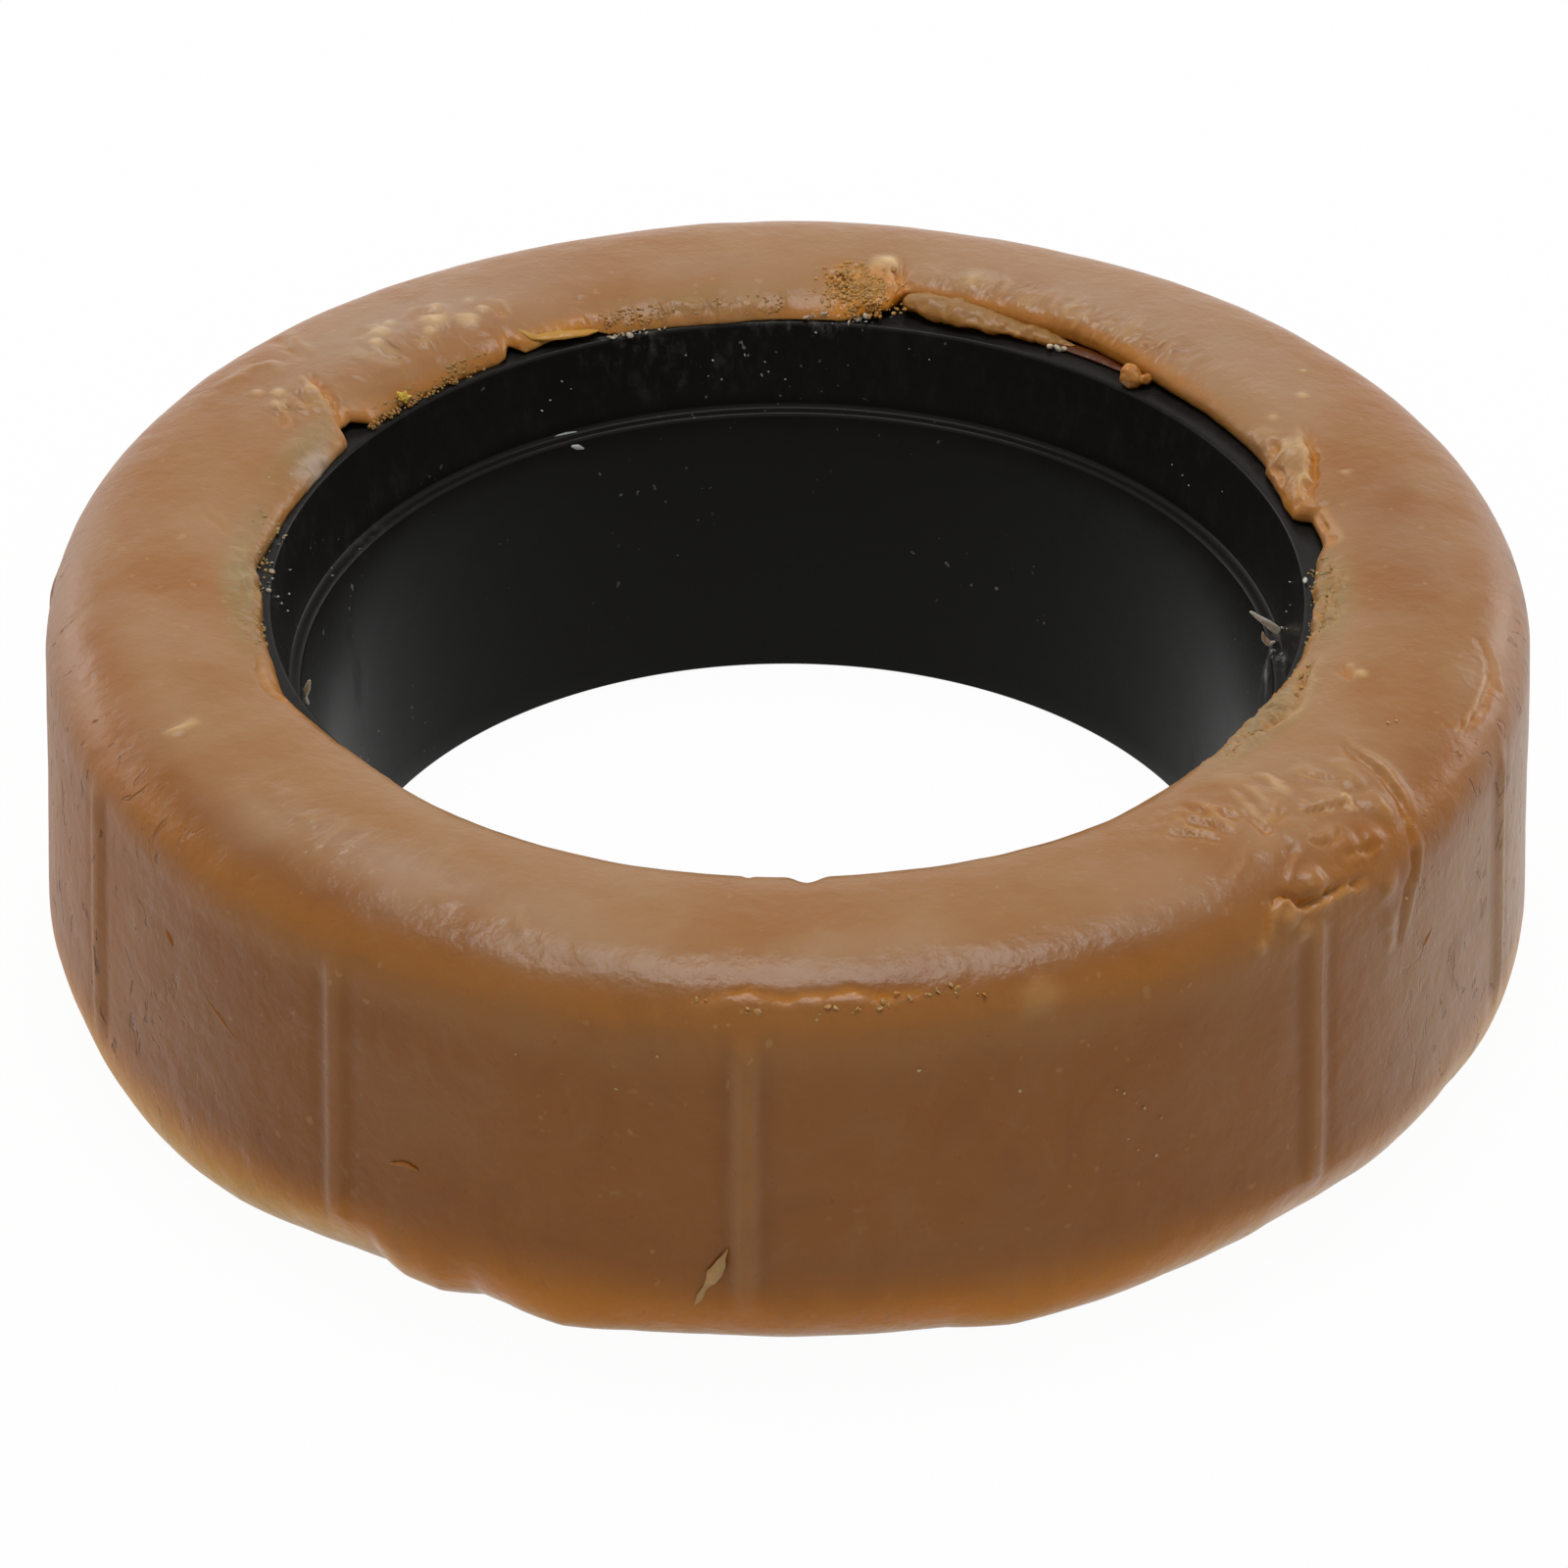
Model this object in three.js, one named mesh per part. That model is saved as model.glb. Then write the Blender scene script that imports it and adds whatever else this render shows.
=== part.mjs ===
// Toilet pan seal: a cast wax ring round a moulded plastic sleeve with a flange.
// Millimetres. +Z is up through the bore, and the origin is the centre of the base.
// Angles are in degrees round the axis: 0 is the front (-Y) and 90 is the right (+X).
// Radii and heights stack up from the sleeve's bore and from the base, so a change of one size
// moves everything that lies outside or above it.

import * as THREE from "three";

// Clearance between the wax and the sleeve that it was cast round
const CAST_GAP = 0.3;

// Sleeve, from its lower end up
const BORE_RADIUS = 36.7;
const SLEEVE_WALL = 1.6;
const TUBE_TAPER = 2.3;
const LEDGE_WIDTH = 1.2;
const LEDGE_ROUND = 0.4;
const COLLAR_HEIGHT = 7.6;
const COLLAR_FLARE = 1;
const RIM_ROUND = 0.6;
const FLANGE_WIDTH = 7.6;
const FLANGE_THICKNESS = 1.6;

// Wax ring
const RING_HEIGHT = 34;
const FLANGE_DEPTH = 2.6; // top of the flange, below the crest of the crown
const LIP_SETBACK = 0.7; // inner edge of the wax, outside the sleeve's rim
const LIP_DROP = 2.1; // that edge's underside, below the crest
const CREST_SETBACK = 6.5; // crest of the crown, outside that edge
const CROWN_WIDTH = 10.7; // crest to the wall
const CROWN_DROP = 6.8; // height that the outer rounding takes
const CROWN_FULLNESS = 2.5; // 2 is an ellipse, and more is squarer
const WALL_DRAFT = 1.2; // the wall leans out by this, down to the base
const EDGE_WIDTH = 4;
const EDGE_RISE = 6;
const EDGE_FULLNESS = 2; // of the base's rounded edge, in the same way
const UNEVENNESS = 0.25; // slow swell of a soft casting

// Ribs that the mould left on the wall
const RIB_ANGLES = [-155, -124, -95, -65, -35, -3, 25.5, 42.5, 70, 99, 128, 157];
const RIB_WIDTH = 2.6;
const RIB_HEIGHT = 0.4;
const RIB_FADE = 4; // height over which a rib runs out at each end

// Torn, pressed and folded places. Each is centred on an angle, and fades over a span in degrees
// on each side, past the flat stretch that some of them have.
// A reach pulls the inner edge inwards, and a negative one opens it.
const LIP_TEARS = [
  { angle: 2, span: 2.8, reach: -0.8 },
  { angle: 56, flat: 6, span: 10, reach: 0.6 },
  { angle: 100, flat: 1.5, span: 3, reach: -1.9 },
  { angle: 126, flat: 7, span: 5, reach: -1.3 },
  { angle: 154, flat: 12, span: 4, reach: -3.2 },
  { angle: 165, span: 4, reach: -1.1 },
  { angle: -147, span: 3, reach: -1 },
  { angle: -123, span: 3.5, reach: -1.4 },
  { angle: -93, span: 7, reach: -0.8 },
  { angle: -67, span: 7, reach: -0.7 },
];
// A lift raises the crown between its crest and its inner edge, and a negative one sinks it.
const CROWN_FOLDS = [
  { angle: 106, span: 6, lift: -0.4 },
  { angle: 119, span: 5, lift: -0.5 },
  { angle: -122, span: 5, lift: -0.6 },
  { angle: -140, span: 9, lift: -0.3 },
  { angle: -84, span: 8, lift: -0.3 },
  { angle: 62, span: 9, lift: -0.3 },
];
// A dent sinks the outer shoulder of the crown.
const SHOULDER_DENTS = [
  { angle: 41, span: 4, dent: 0.9 },
  { angle: 50, span: 5, dent: 1.1 },
  { angle: 57, span: 3, dent: 0.5 },
  { angle: -47, span: 8, dent: 0.4 },
];
// A bite rounds the base's edge more, and a negative one leaves it squarer.
const EDGE_BITES = [
  { angle: -50, flat: 3, span: 7, bite: -0.8 },
  { angle: -35, flat: 3, span: 4, bite: 0.75 },
  { angle: -24, span: 4, bite: 0.5 },
  { angle: -17, span: 6, bite: -0.8 },
  { angle: 0, flat: 8, span: 5, bite: 0.3 },
  { angle: 18, span: 7, bite: -0.7 },
  { angle: 38, flat: 8, span: 8, bite: 0.6 },
  { angle: 60, flat: 4, span: 6, bite: 0.4 },
];
// How finely the surfaces are divided
const STATION_STEP = 3;
const STATION_CLEAR = 1;
const SLEEVE_SEGMENTS = 84;

// Sleeve sizes that follow
const sleeveTop = RING_HEIGHT - FLANGE_DEPTH;
const ledgeHeight = sleeveTop - COLLAR_HEIGHT;
const tubeTopRadius = BORE_RADIUS + TUBE_TAPER;
const collarFootRadius = tubeTopRadius + LEDGE_WIDTH;
const rimRadius = collarFootRadius + COLLAR_FLARE;
const collarOuterRadius = rimRadius + SLEEVE_WALL;
const flangeRadius = collarOuterRadius + FLANGE_WIDTH;
const flangeUnderside = sleeveTop - FLANGE_THICKNESS;

// Wax sizes that follow
const lipRadius = rimRadius + LIP_SETBACK;
const crestRadius = lipRadius + CREST_SETBACK;
const shoulderRadius = crestRadius + CROWN_WIDTH;
const baseRadius = shoulderRadius + WALL_DRAFT;

const radians = THREE.MathUtils.degToRad;

// Signed difference of two angles, from -180 to 180
function turn(from, to) {
  return THREE.MathUtils.euclideanModulo(to - from + 180, 360) - 180;
}

// Sum of smooth bumps round the ring, each 1 at its own angle and 0 past its span
function bumps(list, key, angle) {
  let sum = 0;
  for (const place of list) {
    const past = Math.abs(turn(place.angle, angle)) - (place.flat || 0);
    const away = Math.max(past, 0) / place.span;
    if (away < 1) sum += place[key] * (1 + Math.cos(Math.PI * away)) * 0.5;
  }
  return sum;
}

// Slow swell round the ring, between -1 and 1
function swell(angle) {
  const a = radians(angle);
  return (Math.sin(2 * a + 0.7) + Math.sin(5 * a + 2.1) + Math.sin(9 * a)) / 3;
}

// Height of the ribs at an angle and a height on the wall
function ribAt(angle, height) {
  const low = EDGE_RISE;
  const high = RING_HEIGHT - CROWN_DROP + RIB_FADE;
  const middle = (low + high) / 2;
  const inside = (high - low) / 2 - Math.abs(height - middle);
  const fade = THREE.MathUtils.clamp(inside / RIB_FADE, 0, 1);
  const halfAngle = THREE.MathUtils.radToDeg(RIB_WIDTH / 2 / baseRadius);
  let rise = 0;
  for (const rib of RIB_ANGLES) {
    const away = Math.abs(turn(rib, angle)) / halfAngle;
    rise = Math.max(rise, Math.min(1, 2 * (1 - away)));
  }
  return RIB_HEIGHT * fade * Math.max(rise, 0);
}

// Quarter of a superellipse between two half-axes, as [along, up] shares from the side to the top
function quarterRound(steps, fullness) {
  const power = 2 / fullness;
  return Array.from({ length: steps + 1 }, (_, i) => {
    const t = (Math.PI / 2) * (i / steps);
    return [Math.cos(t) ** power, Math.sin(t) ** power];
  });
}

// The wax's cross-section at one angle, as [radius, height] going round the outside first:
// base, rounded edge, drafted wall, crown, inner edge, slot for the flange and bore for the sleeve
function waxSection(angle) {
  const wave = UNEVENNESS * swell(angle);
  const bite = bumps(EDGE_BITES, "bite", angle);
  const dent = bumps(SHOULDER_DENTS, "dent", angle);
  const fold = bumps(CROWN_FOLDS, "lift", angle);
  const inner = lipRadius - bumps(LIP_TEARS, "reach", angle);
  const crest = RING_HEIGHT - Math.abs(wave);
  const wallFoot = EDGE_RISE;
  const wallHead = RING_HEIGHT - CROWN_DROP;
  const points = [];

  for (const [along, up] of quarterRound(5, EDGE_FULLNESS - bite).reverse()) {
    points.push([baseRadius - EDGE_WIDTH * (1 - along), EDGE_RISE * (1 - up)]);
  }
  for (let i = 1; i <= 5; i++) {
    const height = wallFoot + (wallHead - wallFoot) * (i / 6);
    const lean = baseRadius - WALL_DRAFT * (height / RING_HEIGHT);
    points.push([lean + ribAt(angle, height), height]);
  }
  for (const [along, up] of quarterRound(9, CROWN_FULLNESS)) {
    const height = wallHead + (crest - wallHead) * up;
    const lean = WALL_DRAFT * (1 - height / RING_HEIGHT) * along;
    const pressed = dent * Math.sin(Math.PI * up);
    const radius = crestRadius + CROWN_WIDTH * along + lean - pressed;
    points.push([radius + ribAt(angle, height), height - pressed * 0.5]);
  }
  for (const [along, up] of quarterRound(6, 2.4).reverse().slice(1)) {
    const share = 1 - up;
    const height = RING_HEIGHT - LIP_DROP + (crest - RING_HEIGHT + LIP_DROP) * up;
    points.push([crestRadius - (crestRadius - inner) * along, height + fold * 4 * share * up]);
  }

  const slotTop = sleeveTop + CAST_GAP;
  const slotFloor = flangeUnderside - CAST_GAP;
  const collarHole = collarOuterRadius + CAST_GAP;
  points.push([inner + CAST_GAP, slotTop]);
  points.push([flangeRadius + CAST_GAP, slotTop]);
  points.push([flangeRadius + CAST_GAP, slotFloor]);
  points.push([collarHole, slotFloor]);
  points.push([collarHole - COLLAR_FLARE, ledgeHeight - SLEEVE_WALL - CAST_GAP]);
  points.push([tubeTopRadius + SLEEVE_WALL + CAST_GAP, ledgeHeight - SLEEVE_WALL - CAST_GAP]);
  points.push([BORE_RADIUS + SLEEVE_WALL + CAST_GAP, 0]);
  return points;
}

// Angles at which the ring is divided: even steps, and the edges and tops of the ribs
function stationAngles() {
  const half = THREE.MathUtils.radToDeg(RIB_WIDTH / 2 / baseRadius);
  const atRibs = RIB_ANGLES.flatMap((rib) => [rib - half, rib - half / 2, rib + half / 2, rib + half]);
  const angles = [...atRibs];
  for (let angle = -180; angle < 180; angle += STATION_STEP) {
    const clear = atRibs.every((other) => Math.abs(turn(other, angle)) > STATION_CLEAR);
    if (clear) angles.push(angle);
  }
  return angles.sort((a, b) => a - b);
}

// A closed surface through like cross-sections, each set at its own angle round the axis
function sweptRing(angles, sectionAt) {
  const sections = angles.map(sectionAt);
  const count = sections[0].length;
  const positions = [];
  sections.forEach((section, i) => {
    const a = radians(angles[i]);
    for (const [radius, height] of section) {
      positions.push(radius * Math.sin(a), -radius * Math.cos(a), height);
    }
  });
  const indices = [];
  for (let i = 0; i < angles.length; i++) {
    const next = (i + 1) % angles.length;
    for (let j = 0; j < count; j++) {
      const up = (j + 1) % count;
      const corners = [i * count + j, next * count + j, next * count + up, i * count + up];
      indices.push(corners[0], corners[1], corners[2], corners[0], corners[2], corners[3]);
    }
  }
  const geometry = new THREE.BufferGeometry();
  geometry.setAttribute("position", new THREE.Float32BufferAttribute(positions, 3));
  geometry.setIndex(indices);
  geometry.computeVertexNormals();
  return geometry;
}

// The sleeve's profile: up the bore, over the ledge and the rim, out along the flange and back down
function sleeveGeometry() {
  const round = (centreX, centreY, radius, from, to, steps) =>
    Array.from({ length: steps + 1 }, (_, i) => {
      const a = radians(from + ((to - from) * i) / steps);
      return new THREE.Vector2(centreX + radius * Math.cos(a), centreY + radius * Math.sin(a));
    });
  const underLedge = ledgeHeight - SLEEVE_WALL;
  const profile = [
    new THREE.Vector2(BORE_RADIUS, 0),
    new THREE.Vector2(tubeTopRadius, ledgeHeight - LEDGE_ROUND),
    ...round(tubeTopRadius + LEDGE_ROUND, ledgeHeight - LEDGE_ROUND, LEDGE_ROUND, 150, 90, 2),
    new THREE.Vector2(collarFootRadius, ledgeHeight),
    ...round(rimRadius + RIM_ROUND, sleeveTop - RIM_ROUND, RIM_ROUND, 180, 90, 4),
    new THREE.Vector2(flangeRadius, sleeveTop),
    new THREE.Vector2(flangeRadius, flangeUnderside),
    new THREE.Vector2(collarOuterRadius, flangeUnderside),
    new THREE.Vector2(collarOuterRadius - COLLAR_FLARE, underLedge),
    new THREE.Vector2(tubeTopRadius + SLEEVE_WALL, underLedge),
    new THREE.Vector2(BORE_RADIUS + SLEEVE_WALL, 0),
  ];
  profile.push(profile[0].clone());
  // The profile is turned about Y, and its axis is then stood up along Z.
  return new THREE.LatheGeometry(profile.reverse(), SLEEVE_SEGMENTS).rotateX(Math.PI / 2);
}

const waxMaterial = new THREE.MeshStandardMaterial({
  color: 0x8a5c35,
  roughness: 0.42,
  metalness: 0,
});
const sleeveMaterial = new THREE.MeshStandardMaterial({
  color: 0x17181a,
  roughness: 0.3,
  metalness: 0,
});

const waxRing = new THREE.Mesh(sweptRing(stationAngles(), waxSection), waxMaterial);
waxRing.name = "wax_ring";

const flangedSleeve = new THREE.Mesh(sleeveGeometry(), sleeveMaterial);
flangedSleeve.name = "flanged_sleeve";

const seal = new THREE.Group();
seal.name = "toilet_pan_seal";
seal.add(waxRing, flangedSleeve);

export default seal;
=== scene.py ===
import math

import bpy
import numpy as np
from bpy.props import FloatProperty, FloatVectorProperty, IntProperty, PointerProperty
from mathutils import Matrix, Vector


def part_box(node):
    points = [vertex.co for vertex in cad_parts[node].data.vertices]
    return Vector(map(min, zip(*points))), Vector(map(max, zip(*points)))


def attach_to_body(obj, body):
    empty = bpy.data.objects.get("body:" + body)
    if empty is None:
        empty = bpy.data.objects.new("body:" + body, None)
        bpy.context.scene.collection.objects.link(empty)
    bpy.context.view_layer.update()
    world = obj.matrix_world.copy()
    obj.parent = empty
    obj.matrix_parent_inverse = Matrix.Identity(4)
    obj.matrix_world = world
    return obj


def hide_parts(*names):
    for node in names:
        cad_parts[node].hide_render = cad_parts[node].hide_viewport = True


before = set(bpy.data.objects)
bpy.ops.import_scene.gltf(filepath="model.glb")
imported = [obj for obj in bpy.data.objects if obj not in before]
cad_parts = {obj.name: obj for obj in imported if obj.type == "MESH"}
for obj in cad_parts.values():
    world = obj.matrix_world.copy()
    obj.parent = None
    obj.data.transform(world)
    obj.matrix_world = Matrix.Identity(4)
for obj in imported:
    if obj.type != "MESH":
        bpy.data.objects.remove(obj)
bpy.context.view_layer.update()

bl_info = {
    "name": "Toilet pan seal",
    "version": (1, 0, 0),
    "blender": (4, 5, 0),
    "location": "3D View > Sidebar > Seal",
    "description": "Makes a cast wax ring seal with its flanged plastic sleeve",
    "category": "Add Mesh",
}

# The model is worked out in millimetres and written to the meshes in metres.
# Angles are in degrees round the axis: 0 is the front (-Y) and 90 is the right (+X).
# A place on the wax is an angle and a distance from the crest of the crown, along the
# cross-section: positive outwards and down the wall, and negative towards the sleeve.
# A spot on the sleeve is an angle, a radius and a height.
MM = 0.001
RING_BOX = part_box("wax_ring")
SLEEVE_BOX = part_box("flanged_sleeve")


# Places measured on this casting

# Radius of the wax's inner edge, round the ring
LIP_EDGE = [
    (-177, 41.5), (-166, 41.6), (-158.5, 41.8), (-157, 42.4), (-153, 42.4), (-148.6, 42.1),
    (-147.4, 43.2), (-146, 42.0), (-139, 41.9), (-131, 42.2), (-125.5, 42.1), (-124, 43.3),
    (-122, 43.4), (-120.5, 41.9), (-111, 41.6), (-100, 41.9), (-93.5, 42.7), (-86, 42.0),
    (-76, 42.0), (-67, 42.6), (-61, 42.1), (-54, 41.7), (-40, 42.0), (-20, 41.9), (12, 41.8),
    (35, 41.9), (47, 41.4), (62, 41.2), (70, 41.7), (80, 42.1), (89, 41.9), (94, 42.5),
    (97, 43.3), (102.2, 43.4), (103.2, 42.2), (106, 42.0), (109, 42.3), (113.2, 42.5),
    (114.4, 43.0), (120, 43.2), (134, 43.3), (140, 43.7), (147, 44.4), (153, 44.1),
    (162, 44.7), (167.2, 45.3), (168.6, 42.9), (171, 42.4), (174, 41.6),
]
# How full the roll of that edge is, where 2 is a circle
LIP_FULLNESS = [
    (-170, 1.9), (-130, 2.0), (-90, 2.2), (-50, 2.5), (0, 2.5), (45, 2.4), (75, 2.0),
    (95, 2.5), (112, 2.6), (135, 3.0), (160, 3.4), (167, 3.4), (169, 2.2), (176, 1.8),
]
# How far that edge stands off the flange
LIP_GAP = [
    (-160, 0.0), (-157, 0.5), (-153, 0.4), (-149, 0.1), (-147, 0.7), (-145, 0.0), (-127, 0.0),
    (-124, 0.7), (-122, 0.5), (-120, 0.0), (-70, 0.1), (-50, 0.15), (-30, 0.0), (92, 0.0),
    (98, 0.5), (105, 0.3), (118, 0.3), (140, 0.5), (162, 0.4), (170, 0.7), (173, 0.1),
]
# How full the rounding of the foot is
FOOT_FULLNESS = [
    (-70, 1.9), (-60, 2.4), (-52, 2.9), (-46, 2.7), (-40, 1.7), (-36, 1.35), (-32.5, 1.2),
    (-30, 2.0), (-27, 2.3), (-24, 1.45), (-21.5, 1.8), (-17, 3.0), (-12, 2.1), (-6, 1.75),
    (6, 1.75), (12, 1.8), (17, 2.8), (24, 2.2), (30, 1.6), (40, 1.35), (52, 1.6), (62, 1.6),
    (70, 2.1), (90, 2.1),
]
# Mould ribs: angle and strength
RIBS = [
    (-155, 0.8), (-124, 0.8), (-95, 1.0), (-64.8, 0.9), (-35.2, 0.8), (-3, 1.6), (25.5, 0.12),
    (42.5, 1.1), (70, 0.9), (99, 0.9), (128, 0.8), (157, 0.8),
]

# Creases and ridges: places, width, depth, raised bank beside it, and how orange it is. The orange paints
# shade along the crease and a highlight on its bank, and a negative value paints a highlight along a ridge.
CREASES = [
    # hook on the right
    ([(80, 7), (78, 8.1), (75.8, 9.2), (73.9, 10)], 0.35, 0.35, 0.15, 0.5),
    ([(78, 8.2), (76.4, 8.8), (74, 9), (71.7, 8.9), (70, 9.2), (68.3, 8.9), (67.2, 8), (66.8, 6.9)],
     0.26, 0.5, -0.22, 1.0),
    # scar behind the rolled edge
    ([(70.9, -2.7), (70, -1.8), (69.5, -0.9)], 0.4, 0.45, 0.2, 0.9),
    # gouge at the front right
    ([(59.4, 1), (58, 3.5), (57.9, 4.6), (57.3, 6.3), (56.5, 7.8), (55.7, 9.1), (55.2, 10.6)],
     0.40, 0.62, 0.3, 0.6),
    ([(54.7, 9.7), (54.6, 11.9), (54.1, 13.6), (53.3, 15.6), (52.6, 17.6), (51.9, 19.6)],
     0.35, 0.42, 0.2, 0.4),
    ([(38.6, 10.2), (39.8, 9.5), (40.8, 9.7), (41.8, 10.5), (43, 11), (44.7, 11), (46.7, 11.3),
      (49.2, 12.1)], 0.28, 0.95, -0.3, 1.0),
    ([(39.2, 9.7), (38.2, 10.6), (37.6, 12)], 0.3, 0.35, 0.1, 0.7),
    ([(44.7, 0.2), (44.3, 2.5), (44.1, 4), (46.2, 3.3), (48.1, 2.8)], 0.3, 0.4, 0.15, 0.7),
    ([(48.4, 3), (48.9, 4.8), (51.2, 5.8), (53.9, 6.4)], 0.35, 0.35, 0.2, 0.5),
    ([(50.6, -1.2), (49.8, 0.6), (49.2, 2.6)], 0.35, -0.35, 0, -0.5),
    ([(52.6, 4.8), (51.9, 6.9)], 0.3, -0.4, 0, -0.5),
    ([(41.5, -2.6), (42.6, -0.3), (44, 1.7)], 0.4, 0.3, 0.2, 0.4),
    ([(37.9, -2.9), (40.7, -0.3), (41.5, 2.9)], 0.4, 0.26, 0.2, 0.3),
    ([(36, -1.4), (38.8, 0.8), (40, 3.4)], 0.4, 0.22, 0.15, 0.2),
    ([(45.5, 6.4), (47.3, 7.6), (49.4, 7.6)], 0.35, 0.3, 0.18, 0.4),
    ([(46.3, -1.6), (45.6, 0.2), (44.9, 2.0)], 0.28, -0.4, 0, -0.25),
    ([(47.8, -1.2), (47.2, 0.8), (46.7, 2.2)], 0.28, -0.4, 0, -0.25),
    ([(43.2, -2.2), (42.4, 0.4), (42.2, 2.4)], 0.3, -0.35, 0, -0.2),
    ([(39.6, -2.2), (39, 0.2), (39.8, 2.2)], 0.3, -0.35, 0, -0.2),
    ([(52.3, 0.6), (53.2, 2.4), (54.6, 4.0)], 0.25, 0.4, 0.2, 0.4),
    ([(47.4, 9.0), (49.4, 9.9), (51.6, 10.2)], 0.25, 0.35, -0.2, 0.3),
    ([(44.6, 6.6), (42.6, 7.2), (41, 8.4)], 0.28, 0.3, 0.2, 0.3),
    ([(41.2, 3.8), (39.2, 5.2), (37.4, 6.0)], 0.3, 0.25, 0.2, 0.2),
    # rolled olive edge
    ([(72.8, -5.4), (70, -5.2), (66, -4.6), (62.5, -3.9), (60, -4.4), (57.7, -5.1), (53.8, -5.6),
      (50.9, -5.2)], 0.42, 0.6, 0.2, 0.8),
    ([(93, -4.8), (89.7, -5.1), (85.3, -5.2), (81, -5.6), (76.6, -5.4)], 0.28, 0.35, 0.1, 0.7),
    ([(90, -4.2), (86, -4.6), (82, -4.4), (78.6, -4.8)], 0.25, 0.3, 0.1, 0.5),
    # tongue on the right
    ([(116.6, -1), (112.7, -2), (109.3, -2.9), (105.7, -4.4), (102.8, -5.2)], 0.4, 0.7, -0.25, 1.0),
    ([(116, -4), (113.8, -4.9), (113.6, -6)], 0.38, 0.5, 0.1, 0.9),
    ([(112.7, -5.6), (110, -5.5), (107.6, -5.8)], 0.3, 0.3, -0.15, 0.5),
    ([(102.4, -5), (98.6, -4.6), (96.2, -4.2), (94.8, -4.6)], 0.35, 0.3, 0.1, 1.0),
    # split beside the granular patch at the back right
    ([(168.6, 0.7), (168, -2.2), (167.4, -3.2)], 0.38, 0.95, -0.25, 1.0),
    # folds at the back left
    ([(-126.4, 1), (-125.7, -0.8), (-124.9, -2.4), (-123.7, -3.7), (-122.3, -5)], 0.36, 0.55, -0.3, 1.0),
    ([(-123.3, 0.2), (-122.3, -1.8), (-121.2, -3.6)], 0.36, 0.4, 0.2, 0.3),
    ([(-119, -0.6), (-117, -2.4)], 0.3, 0.3, 0.15, 0.7),
    ([(-121.2, 0.4), (-119.9, -1.6)], 0.34, 0.32, 0.2, 0.2),
    ([(-131, 8.4), (-129.4, 5.6), (-128.2, 2.9)], 0.6, 0.3, 0.2, 0.3),
    ([(-120, 5.6), (-123.6, 5.8), (-125.7, 4.4), (-126, 2.4)], 0.8, -0.3, 0, -0.1),
    ([(-136, 3), (-134.6, 1.8), (-137.6, 1.5)], 0.4, 0.2, 0.15, 0.2),
    ([(-139.5, 0.6), (-141.6, 1.4), (-143.6, 0.6), (-143.4, -0.8)], 0.35, 0.25, 0.15, 0.4),
    ([(-147.8, -0.2), (-149, -1.2), (-149, -2.8)], 0.3, 0.3, 0.15, 0.7),
    # left inner edge
    ([(-73.5, -4.9), (-69.4, -4.4), (-65.9, -4.1), (-64.4, -5)], 0.26, 0.4, 0.1, 0.5),
    ([(-99.8, -0.4), (-97.9, -2.3), (-96.3, -3.1)], 0.3, 0.2, 0.1, 0.3),
    # crown
    ([(-63.4, 5.8), (-63.6, 4), (-64.2, 2.3)], 0.4, -0.22, 0, -0.7),
    ([(-62.3, 5.2), (-62.8, 3.2)], 0.28, 0.2, 0, 0.2),
    ([(-7.5, 9.6), (-2.4, 9), (0, 9.1), (4.2, 8.8), (7, 9.4), (11, 9.3)], 0.38, 0.2, 0, 1.0),
    ([(176, -2.2), (174.2, -2.8), (173.4, -4.3)], 0.4, 0.45, 0.1, 0.6),
]
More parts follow.
